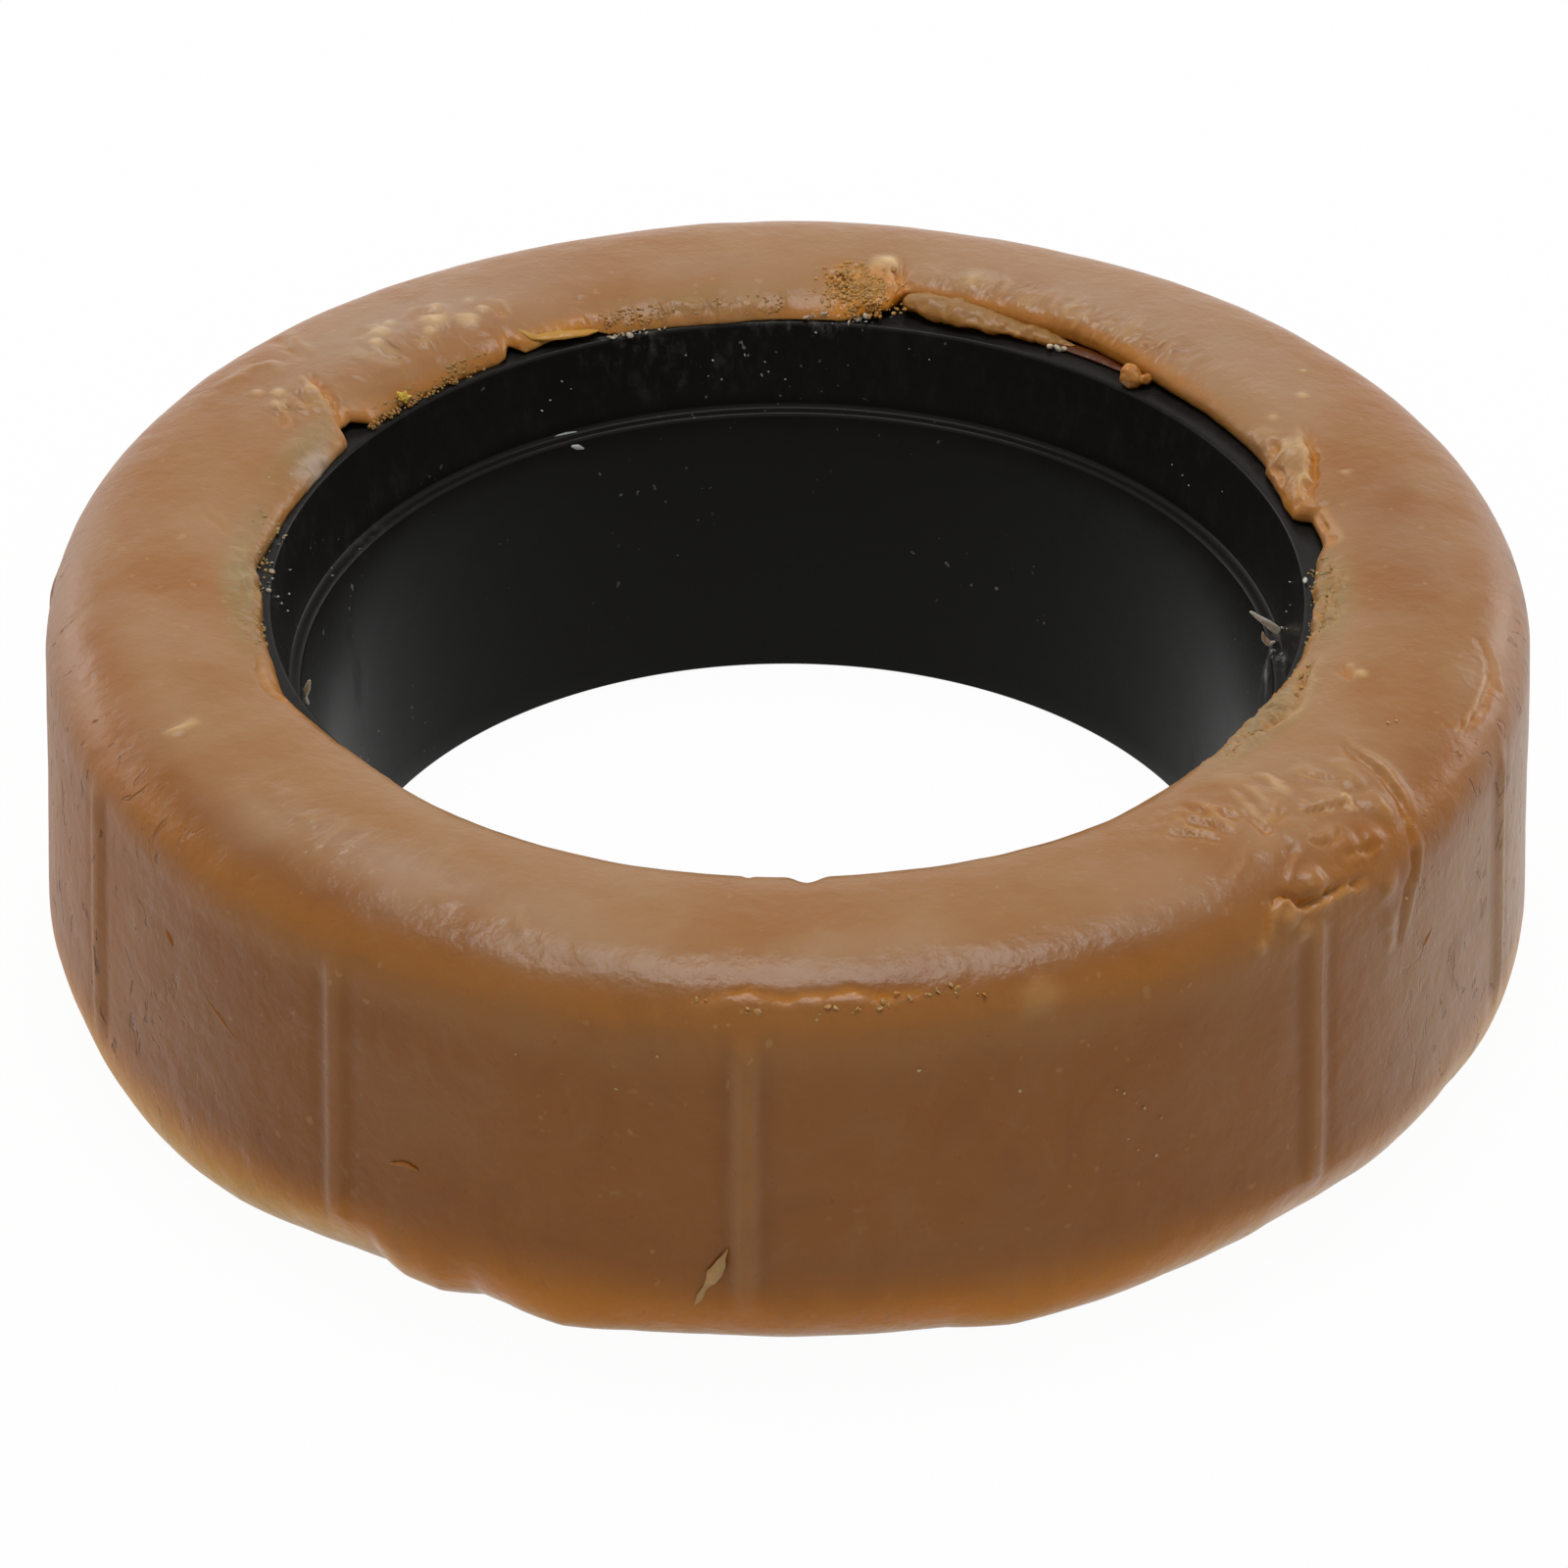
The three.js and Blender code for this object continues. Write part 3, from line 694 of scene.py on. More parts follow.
def floor_material(colours):
    """Pale floor that cameras and reflections see as nearly white, with the seal's soft shadow."""
    s = Shader(bpy.data.materials.new("floor_white"))
    diffuse = s.node("ShaderNodeBsdfDiffuse", None, {"Color": rgba(colours.floor)})
    white = s.node("ShaderNodeEmission", None, {"Color": (1, 1, 1, 1), "Strength": 1.0})
    whiteness = 0.965
    seen = s.seen_directly() * whiteness
    surface = s.node("ShaderNodeMixShader", None, {0: seen, 1: diffuse, 2: white})
    s.node("ShaderNodeOutputMaterial", None, {"Surface": surface})
    return s.owner


# Wax ring

def station_angles(count):
    """Angles round the ring, closer together where the casting is torn and folded."""
    angle = np.linspace(-180, 180, 3601)
    busy = sum(hump(turn(centre, angle) / span) for centre, span in (
        (145, 42), (106, 22), (50, 22), (-133, 34), (-36, 30), (1, 10)))
    walked = np.concatenate([[0], np.cumsum(1 + 0.9 * np.clip(busy[:-1], 0, 1))])
    share = np.linspace(0, walked[-1], count, endpoint=False)
    return np.interp(share, walked, angle)


def wax_sections(casting, angle):
    """Radius and height of the cross-section at each angle, and the inner edge's radius. It runs
    out over the flat base, round the foot's superellipse, up the drafted wall, over the crown,
    down a quarter superellipse to the torn inner edge, and back under that edge."""
    c = casting
    angle = angle[:, None]
    plan = ring_points(angle, 42.0, 0.0)
    tear = 0.13 * fractal(plan, 2.4, 11) + 0.22 * fractal(plan, 6.0, 12, 2)
    ragged = smooth(np.abs(turn(2, angle)), 40, 60)
    lip = around(angle, LIP_EDGE) + tear * (0.25 + 0.75 * ragged)
    lip = lip + 0.8 * hump(turn(2.0, angle) / 2.3) + 0.25 * hump(turn(-4.0, angle) / 0.8)
    lip = np.maximum(lip, c.rim + 0.1)
    gap = around(angle, LIP_GAP)
    fullness = around(angle, LIP_FULLNESS)
    foot = np.clip(around(angle, FOOT_FULLNESS) + 0.2 * fractal(plan, 5.0, 13, 2), 1.15, 4)
    radius, height = [], []

    def part(r, z):
        r, z, _ = np.broadcast_arrays(r, z, angle)
        radius.append(r)
        height.append(z)

    sleeve_wall, edge_width, edge_rise = 1.75, 4.0, 6.0
    part(np.linspace(c.bore + sleeve_wall, c.base - edge_width, 4)[None, :-1], 0.0)
    across, up = superellipse(np.linspace(np.pi / 2, 0, 15)[None], foot)
    rounded = edge_rise * (1 - up)
    part(c.base - edge_width * (1 - across) - c.draft * rounded / c.limit, rounded)
    foot_away = np.interp(-edge_rise, -c.height, c.walked)
    down_wall = np.concatenate([np.linspace(foot_away, 20, 13)[1:-1], np.linspace(20, 14.5, 10)[:-1]])
    part(*c.outer(np.concatenate([down_wall, np.linspace(14.5, 0, 42)])[None]))
    across, up = superellipse(even_turns(29, 2.4, 6.4, 2.4)[None, 1:], fullness)
    lowest = c.flange + gap + 0.02
    part(c.crest - (c.crest - lip) * across, lowest + (c.top - lowest) * up)
    part(lip + 0.25, lowest - 0.15 * gap)
    part(lip + 1.6, lowest - 0.1 * gap)
    part(c.rim + 3.8, c.flange - 0.1)
    part(c.rim + 1.9, c.flange - 2.2)
    part(c.rim + 0.9, c.flange - 9.2)
    return np.concatenate(radius, axis=1), np.concatenate(height, axis=1), lip


class Skin:
    """The points of the wax's surface, their places on it, how far each one is raised, and how
    strongly each layer of the material is painted there."""

    def __init__(self, casting, steps):
        angle = station_angles(steps)
        radius, height, lip = wax_sections(casting, angle)
        grid = ring_points(angle[:, None], radius, height)
        self.casting = casting
        self.shape = radius.shape
        self.points = grid.reshape(-1, 3)
        self.normals = grid_normals(grid).reshape(-1, 3)
        self.angle = np.broadcast_to(angle[:, None], self.shape).ravel()
        self.lip = np.broadcast_to(lip, self.shape).ravel()
        self.radius = radius.ravel()
        self.height = height.ravel()
        self.away = casting.distance(self.radius, self.height)
        self.from_front = np.abs(turn(0, self.angle))
        self.flow = ring_points(self.angle, FLOW_RADIUS, self.away)
        self.rise = np.zeros(len(self.points))
        self.paint = {layer: np.zeros(len(self.points)) for layer in WAX_LAYERS}

    def sector(self, centre, span):
        """1 at an angle, and 0 from its span outwards."""
        return hump(turn(centre, self.angle) / span)

    def patch(self, centre, span, place, width):
        """1 at an angle and a distance from the crest, and 0 from their spans outwards."""
        return self.sector(centre, span) * hump((self.away - place) / width)


def add_swells(skin):
    """Slow swells in two sizes, a fine ripple, and a crown that dips a little at the back."""
    points = skin.points
    skin.rise += 0.20 * fractal(points, 24.0, 21, 2) + 0.10 * fractal(points, 8.0, 22, 3)
    skin.rise += 0.03 * fractal(points, 1.8, 23, 2) - 0.15 * skin.sector(180, 60)


def add_ribs(skin):
    """Raises each mould rib by a raised cosine that is cut off flat, with a shallow groove along both of its
    sides, and paints a highlight on each rib and shade in its grooves."""
    on_wall = smooth(skin.away, 11.5, 15.0) * smooth(skin.height, 4.0, 9.0)
    for place, strength in RIBS:
        across = np.radians(turn(place, skin.angle)) * skin.casting.base
        ridge = strength * on_wall * np.clip(1.6 * hump(across / 1.25), 0, 1)
        groove = strength * on_wall * gauss((np.abs(across) - 1.7) / 0.6)
        skin.rise += 0.42 * ridge - 0.10 * groove
        # Painted highlight along the rib and painted shade in its grooves.
        skin.paint["pale"] += 0.07 * ridge
        skin.paint["dark"] += 0.05 * groove


def add_creases(skin):
    """Sinks each crease in by a bell across it that fades at its ends, and raises one bank. The
    points are first shifted a little by noise, so that the creases run unevenly."""
    jagged = [
        noise(skin.points, 1.5, seed) + 0.5 * noise(skin.points, 0.6, seed + 3) for seed in (44, 45, 46)]
    points = skin.points + 0.32 * np.stack(jagged, axis=-1)
    for places, width, depth, bank, orange in CREASES:
        line = skin.casting.spots(places)
        middle = line.mean(axis=0)
        reach = np.linalg.norm(line - middle, axis=1).max() + 4 * width + 1
        near = np.nonzero(np.linalg.norm(points - middle, axis=1) < reach)[0]
        gap, along, side = line_field(points[near], skin.normals[near], line)
        fade = 1 - np.abs(2 * along - 1) ** 4
        cut = fade * gauss(gap / width) * (1 + 0.35 * noise(points[near], 0.9, 41))
        beside = fade * gauss((gap - 1.7 * width) / width) * (side * np.sign(bank) > 0)
        skin.rise[near] += abs(bank) * beside - depth * cut
        # Painted amber shade along the crease, with a painted glow of light through the thin wax in the
        # deepest ones; a painted highlight on the bank and along raised ridges.
        skin.paint["amber"][near] += 0.9 * max(orange, 0) * cut
        skin.paint["glow"][near] += 0.25 * max(orange - 0.6, 0) * cut
        skin.paint["pale"][near] += max(-orange, 0) * cut + 0.3 * max(orange, 0) * beside


def add_lumps(skin):
    """Raises or sinks each lump by exp(-d^3), d being the distance over its uneven radius."""
    wander = 1 + 0.3 * noise(skin.points, 1.1, 43)
    centres = skin.casting.spots([place for place, *rest in LUMPS])
    for centre, (place, radius, height, paleness) in zip(centres, LUMPS):
        bell = np.exp(-(np.linalg.norm(skin.points - centre, axis=1) / radius * wander) ** 3)
        skin.rise += height * bell
        skin.paint["pale"] += paleness * bell


def add_wrinkles(skin):
    """Folds each wrinkled stretch by ridged noise, which a slower noise bends."""
    warp = np.stack([fractal(skin.points, 3.0, seed, 2) for seed in (51, 52, 53)], axis=-1)
    folds = ridged(skin.flow * (1, 1, 0.5) + warp, 1.9, 54)
    for centre, span, place, width, strength in WRINKLES:
        stretch = strength * skin.patch(centre, span, place, width)
        skin.rise += stretch * (folds - 0.45)
        skin.paint["grain"] += 2.0 * stretch
        # Painted highlight on the tops of the folds.
        skin.paint["pale"] += 0.5 * stretch * smooth(folds, 0.6, 0.95)


def paint_body(skin):
    """Paints the deep wall, the orange shoulder, a painted shade just above that shoulder at the front which
    dims the highlight there, a darker stretch on the front-left wall, a paler band at the top of the front
    wall, the film and painted sheen on the crown, painted sheen on the right wall, the pitted sides, and the
    tints of the table."""
    paint, away, angle, from_front = skin.paint, skin.away, skin.angle, skin.from_front
    cloud = fractal(skin.points, 9.0, 31, 2)
    low_wall = smooth(away, 13, 18)
    paint["deep"] += smooth(away + 1.5 * cloud, 5.0, 10.5) * (0.8 + 0.35 * cloud)
    shoulder = gauss((away - 10.8) / 2.8) * (1 - 0.6 * smooth(from_front, 60, 110))
    paint["amber"] += 0.40 * np.clip(shoulder * (0.7 + 0.6 * cloud), 0, 1)
    # Painted shade along the front, just above the shoulder, which dims the highlight there.
    front = (1 - smooth(from_front, 45, 80)) * (1 - 0.8 * skin.sector(50, 16))
    paint["dark"] += 0.34 * gauss((away - 8.3) / 2.1) * front * (1 + cloud)
    paint["dark"] += 0.14 * skin.sector(-43, 24) * smooth(away, 13, 17) * smooth(skin.height, 5, 9)
    # Painted sheen on the right wall: a paler tint here and the sheen layer below.
    paint["pale"] += 0.13 * smooth(angle, 42, 58) * (1 - smooth(angle, 80, 100)) * low_wall
    paint["pale"] += 0.09 * gauss((away - 12.8) / 2.4) * (1 - smooth(from_front, 40, 60))
    paint["film_and_sheen"] += 1 - smooth(away, 6.0, 11.0)
    paint["painted_sheen"] += 0.6 * smooth(angle, 40, 60) * (angle < 130) * low_wall
    side = smooth(from_front, 46, 66) * smooth(away, 7.0, 12.0) * (1 - 0.9 * smooth(from_front, 90, 118))
    paint["pitted"] += side * (1 - 0.5 * smooth(angle, 0, 40))
    for layer, strength, *place in TINTS:
        paint[layer] += strength * skin.patch(*place)


def paint_foot(skin):
    """Paints the light through the foot: a painted glow that fades upwards, a painted yellow edge, lit from
    the floor through the thin wax, that is taller at the sides, and an olive line at the floor, all with
    waved borders."""
    paint, height, from_front = skin.paint, skin.height, skin.from_front
    outside = skin.radius > 50
    wave = 1.3 * fractal(skin.points, 14.0, 32, 2) + 0.5 * fractal(skin.points, 3.0, 33, 2)
    reach = 1 + smooth(from_front, 22, 38) * (1 - smooth(from_front, 80, 105))
    foot = 1 - smooth(height / reach, 0.5 + 0.6 * wave, 3.2 + 0.6 * wave)
    duller_behind = 1 - 0.6 * smooth(from_front, 90, 115)
    # Painted light: the glow of light through the foot, and the yellow edge lit from the floor.
    paint["glow"] += 0.62 * outside * (1 - smooth(height, 0.5 + wave, 9.0 + wave))
    paint["yellow"] += 0.5 * outside * foot * reach ** 0.5 * duller_behind
    paint["olive"] += 0.28 * outside * (1 - smooth(height / reach, 0.0, 1.2 + 0.3 * wave))


def paint_inner_edge(skin):
    """Paints and roughens the inner edge: amber for the light through it where it is torn, painted amber
    shade where it turns under onto the flange, olive and crumbled where it was rubbed, golden at the back
    right, and chalky at the left."""
    c, paint, points, inwards = skin.casting, skin.paint, skin.points, -skin.away
    torn = skin.sector(150, 40) + skin.sector(-152, 10) + 0.4 * skin.sector(-66, 10)
    torn = np.clip(1.6 * torn + skin.sector(103, 12) + skin.sector(-124, 7), 0, 1)
    paint["amber"] += 0.95 * torn * smooth((c.crest - skin.radius) / (c.crest - skin.lip), 0.68, 0.98)
    # Painted amber shade where the edge turns under onto the flange.
    under = (skin.radius < 47) * (1 - smooth(skin.height, c.flange + 0.5, c.flange + 1.5))
    paint["amber"] += 0.6 * under * (1 - torn)
    paint["yellow"] += 0.3 * under * skin.sector(-153.5, 5)

    rubbed = skin.sector(84, 13) + skin.sector(60, 17) + skin.sector(-88, 20)
    rubbed = np.clip(rubbed + 0.8 * skin.sector(-116, 12) + 0.4 * skin.sector(-171, 16), 0, 1)
    paint["olive"] += rubbed * smooth(inwards, 2.6, 4.4) * (0.75 + 0.4 * fractal(points, 1.6, 34))
    crumbled = rubbed * smooth(inwards, 3.0, 5.0)
    skin.rise += crumbled * (0.5 * ridged(points, 1.1, 37) - 0.05)
    paint["grain"] += 0.6 * crumbled
    specks = smooth(0.35 * fractal(points, 0.7, 36) + 0.5 * smooth(inwards, 2.0, 5.5), 0.52, 0.75)
    paint["dust"] += 0.25 * rubbed * specks

    golden = skin.sector(171.5, 6) * smooth(inwards, 0.2, 3.2)
    paint["amber"] += 0.6 * golden
    paint["glow"] += 0.3 * golden
    paint["grain"] += 0.6 * golden
    chalky = skin.sector(-113.5, 6) * smooth(inwards, 5.0, 6.2)
    paint["dust"] += 0.55 * chalky * (0.7 + 0.6 * fractal(points, 1.5, 35))


def wax_ring_mesh(sizes, colours):
    """The cast ring: a grid of angle by place on the section, whose visible points move along
    their own normals by what the swells, ribs, creases, lumps and wrinkles add up to."""
    c = Casting(sizes)
    skin = Skin(c, sizes.wax_steps)
    for step in (add_swells, add_ribs, add_creases, add_lumps, add_wrinkles,
                 paint_body, paint_foot, paint_inner_edge):
        step(skin)
    on_crown = smooth(skin.radius, skin.lip - 0.3, skin.lip + 0.4) * (skin.height > c.flange)
    outer_side = skin.radius > 55
    shown = np.where(outer_side, smooth(skin.height, 0.0, 2.0), on_crown)
    points = skin.points + skin.normals * (skin.rise * shown)[:, None]
    points[:, 2] = np.clip(points[:, 2], 0, c.limit - 0.01)
    layers = {layer: np.clip(values, 0, 1) for layer, values in skin.paint.items()}
    layers["flow"] = skin.flow * MM
    return make_object("wax_ring_cast", points, grid_faces(*skin.shape), wax_material(colours), layers)


# Loose and torn wax

def pebble(levels):
    """A unit ball: an octahedron with each face split in four and pushed out to the sphere,
    once for every level."""
    points = np.concatenate([np.eye(3), -np.eye(3)])
    faces = np.array([(0, 1, 2), (1, 3, 2), (3, 4, 2), (4, 0, 2), (1, 0, 5), (3, 1, 5), (4, 3, 5), (0, 4, 5)])
    for _ in range(levels):
        edges = np.sort(faces[:, [[0, 1], [1, 2], [2, 0]]].reshape(-1, 2), axis=1)
        pairs, which = np.unique(edges, axis=0, return_inverse=True)
        a, b, c = faces.T
        ab, bc, ca = which.reshape(-1, 3).T + len(points)
        points = np.concatenate([points, unit(points[pairs].sum(axis=1))])
        faces = np.concatenate([
            np.stack(corners, axis=1) for corners in ((a, ab, ca), (ab, b, bc), (ca, bc, c), (ab, bc, ca))])
    return points, faces


def crumbs(name, centres, size, seed, material, layers, flat=0.7, rough=0.25, levels=1):
    """Many small lumps in one mesh: each is a pebble with its radius varied by noise, flattened,
    turned at random and set at its own centre."""
    rng = np.random.default_rng(seed)
    ball, faces = pebble(levels)
    count = len(centres)
    offset = rng.uniform(-50, 50, (count, 1, 3))
    body = ball * (1 + rough * fractal(ball + offset, 0.9, seed, 2))[..., None]
    stretch = [rng.uniform(0.8, 1.3, count), rng.uniform(0.7, 1.1, count), np.full(count, flat)]
    body = body * np.stack(stretch, axis=-1)[:, None]
    w, x, y, z = unit(rng.normal(size=(count, 4)) * (1, 0.35, 0.35, 1)).T
    spin = np.array([[1 - 2 * (y * y + z * z), 2 * (x * y - z * w), 2 * (x * z + y * w)],
                     [2 * (x * y + z * w), 1 - 2 * (x * x + z * z), 2 * (y * z - x * w)],
                     [2 * (x * z - y * w), 2 * (y * z + x * w), 1 - 2 * (x * x + y * y)]])
    body = np.einsum("ijk,knj->kni", spin, body)
    points = centres[:, None] + body * np.broadcast_to(size, count)[:, None, None]
    all_faces = (faces[None] + np.arange(count)[:, None, None] * len(ball)).reshape(-1, 3)
    spread = {}
    for layer, (low, high) in layers.items():
        spread[layer] = np.repeat(rng.uniform(low, high, count), len(ball))
    return make_object(name, points.reshape(-1, 3), all_faces, material, spread)


def ribbon(name, line, widths, heights, up, material, layers, seed=0, rough=0.0, count=60, columns=20):
    """A closed strip along a line: at each station an ellipse of that half-width and half-height,
    on a frame made from the line's direction and an up direction, and a pole at each end."""
    line = np.asarray(line, float)
    knots = np.concatenate([[0], np.cumsum(np.linalg.norm(np.diff(line, axis=0), axis=1))])
    share = np.linspace(0, knots[-1], count)
    centre = np.stack([np.interp(share, knots, line[:, k]) for k in range(3)], axis=-1)
    padded = np.pad(centre, ((2, 2), (0, 0)), mode="reflect", reflect_type="odd")
    centre = np.stack([np.convolve(padded[:, k], np.ones(5) / 5, "valid") for k in range(3)], axis=-1)
    along = unit(np.gradient(centre, axis=0))
    side = unit(np.cross(np.broadcast_to(np.asarray(up, float), centre.shape), along))
    over = np.cross(along, side)
    t = np.linspace(0, 1, count)
    round_off = np.sqrt(np.clip(1 - np.abs(2 * t - 1) ** 8, 0, 1))
    wide = np.interp(t, np.linspace(0, 1, len(widths)), widths) * round_off
    high = np.interp(t, np.linspace(0, 1, len(heights)), heights) * round_off
    u = np.linspace(0, 2 * np.pi, columns, endpoint=False)
    out_side = side[:, None] * np.cos(u)[:, None]
    out_over = over[:, None] * np.sin(u)[:, None]
    points = centre[:, None] + out_side * wide[:, None, None] + out_over * high[:, None, None]
    bumpy = rough * fractal(points, 1.2, seed, 3) * round_off[:, None]
    points = (points + (out_side + out_over) * bumpy[..., None])[1:-1]
    rows = len(points)
    i = np.arange(rows - 1)[:, None] * columns
    j = np.arange(columns)[None]
    k = (j + 1) % columns
    quads = np.stack([i + j, i + k, i + columns + k, i + columns + j], axis=-1).reshape(-1, 4)
    last = (rows - 1) * columns
    j, k = j[0], k[0]
    start = np.stack([np.full(columns, rows * columns), k, j], axis=1)
    end = np.stack([np.full(columns, rows * columns + 1), last + j, last + k], axis=1)
    faces = np.concatenate([quads[:, [0, 1, 2]], quads[:, [0, 2, 3]], start, end])
    points = np.concatenate([points.reshape(-1, 3), centre[:1], centre[-1:]])
    spread = {}
    for layer, value in layers.items():
        low, high_value = np.broadcast_to(value, 2)
        ring = low + (high_value - low) * (0.5 + 0.5 * np.sin(u))
        spread[layer] = np.concatenate([np.tile(ring, rows), [low, low]])
    return make_object(name, points, faces, material, spread)


def scatter(casting, rng, count, angles, aways, lift):
    """Random spots in a stretch of the wax's surface, lifted off it."""
    places = np.stack([rng.uniform(*angles, count), rng.uniform(*aways, count)], axis=-1)
    return casting.spots(places) + (0, 0, lift)


def rim_spots(rng, count, angles, radii, heights):
    """Random spots on and above the sleeve's rim."""
    return ring_points(
        rng.uniform(*angles, count), rng.uniform(*radii, count), rng.uniform(*heights, count))


def ring_line(spots):
    """Points from a list of angle, radius and height."""
    return ring_points(*np.array(spots, float).T)


def make_granules(sizes, colours):
    """Granular wax: the golden patch at the back right, the bubbly edge at the back, the grey
    granules at the back left, and the olive crumbs along both sides of the inner edge."""
    c = Casting(sizes)
    wax = wax_material(colours)
    rng = np.random.default_rng(5)
    made = []

    def group(name, centres, low, high, layers, **more):
        size = low * (high / low) ** rng.uniform(0, 1, len(centres)) ** 1.6
        made.append(crumbs(name, centres, size, int(rng.integers(1, 999)), wax, layers, **more))

    places = rng.normal((171.8, -4.2), (2.1, 1.7), (1100, 2))
    places = places[(places[:, 0] > 168.8) & (np.abs(places[:, 1] + 3.2) < 3.2)]
    spots = np.concatenate([
        c.spots(places) + (0, 0, -0.12),
        rim_spots(rng, 40, (166.2, 172.5), (42.2, 43.4), (32.2, 32.8))])
    group("golden_granules", spots, 0.09, 0.3, {
        "grain": (0.0, 0.2), "pale": (0.1, 0.45), "amber": (0.2, 0.7), "glow": (0.0, 0.2)}, flat=0.7)
    spots = scatter(c, rng, 260, (-179.5, -158.5), (-6.6, -5.0), -0.08)
    group("bubbly_edge", spots, 0.08, 0.2, {
        "grain": (0.3, 0.6), "pale": (0.0, 0.4), "amber": (0.1, 0.8), "dust": (0.0, 0.12)})
    spots = np.concatenate([
        rim_spots(rng, 150, (-139, -124.8), (41.5, 42.4), (31.5, 31.9)),
        scatter(c, rng, 150, (-145, -126), (-6.6, -5.5), -0.12)])
    group("grey_granules", spots, 0.09, 0.24, {
        "grain": (0.1, 0.4), "olive": (0.3, 0.8), "amber": (0.0, 0.5), "pale": (0.0, 0.2)}, flat=0.8)
    spots = np.concatenate([
        scatter(c, rng, 200, (-103, -76), (-6.5, -4.6), -0.05),
        scatter(c, rng, 320, (50, 94), (-6.6, -4.6), -0.05)])
    group("olive_crumbs", spots, 0.09, 0.26, {
        "grain": (0.3, 0.6), "olive": (0.5, 1.0), "yellow": (0.0, 0.25), "dust": (0.0, 0.12)})
    spots = np.concatenate([
        rim_spots(rng, 26, (-166, -159), (41.2, 41.8), (31.4, 31.6)),
        rim_spots(rng, 46, (170.5, 178), (41.3, 42.2), (31.4, 32.1)),
        rim_spots(rng, 16, (-117, -110), (41.6, 42.3), (31.6, 32.3)),
        rim_spots(rng, 12, (-101, -88), (41.2, 41.6), (31.4, 31.7))])
    group("chalk_dust", spots, 0.1, 0.34, {"grain": (0.2, 0.5), "dust": (0.25, 0.7)}, flat=0.3)
    places = [
        (12.7, 10.3), (12.2, 10.2), (11.1, 10.0), (10.6, 10.2), (9.3, 10.5), (8.6, 10.4),
        (7.5, 10.6), (6.8, 10.8), (5, 10.9), (4.4, 11), (3.5, 10.8), (2.2, 11.1), (-2.2, 10.5),
        (-2.9, 10.9), (-6.8, 10.2), (-6, 10.8), (14.2, 10.5)]
    spots = c.spots(np.repeat(places, 2, axis=0) + rng.normal((0, -0.7), 0.24, (len(places) * 2, 2)))
    group("shoulder_crumbs", spots, 0.12, 0.42, {
        "grain": (0.0, 0.2), "pale": (0.15, 0.5), "amber": (0.1, 0.5)}, flat=0.28, rough=0.5, levels=2)
    places = [
        (24.6, 20.5), (25.2, 21.0), (26.2, 22.2), (26.9, 22.9), (28.3, 24.3), (25.6, 25.3),
        (26.4, 26.6), (27.9, 27.6), (-9.4, 14.2), (-12.4, 17.5), (9.5, 15.5), (17, 18.6), (-20, 16),
        (40, 11.4), (42.8, 13), (53.1, 15.8), (50.4, 17.2), (-120.4, -5.2), (-108.1, -4.2),
        (-110.1, -5.4), (91, -6), (69.6, -1.1), (124.9, 3.7), (64, 3.4), (64.6, 3.9)]
    group("pale_specks", c.spots(places), 0.09, 0.2, {"pale": (0.5, 0.9), "dust": (0.0, 0.4)})
    return made


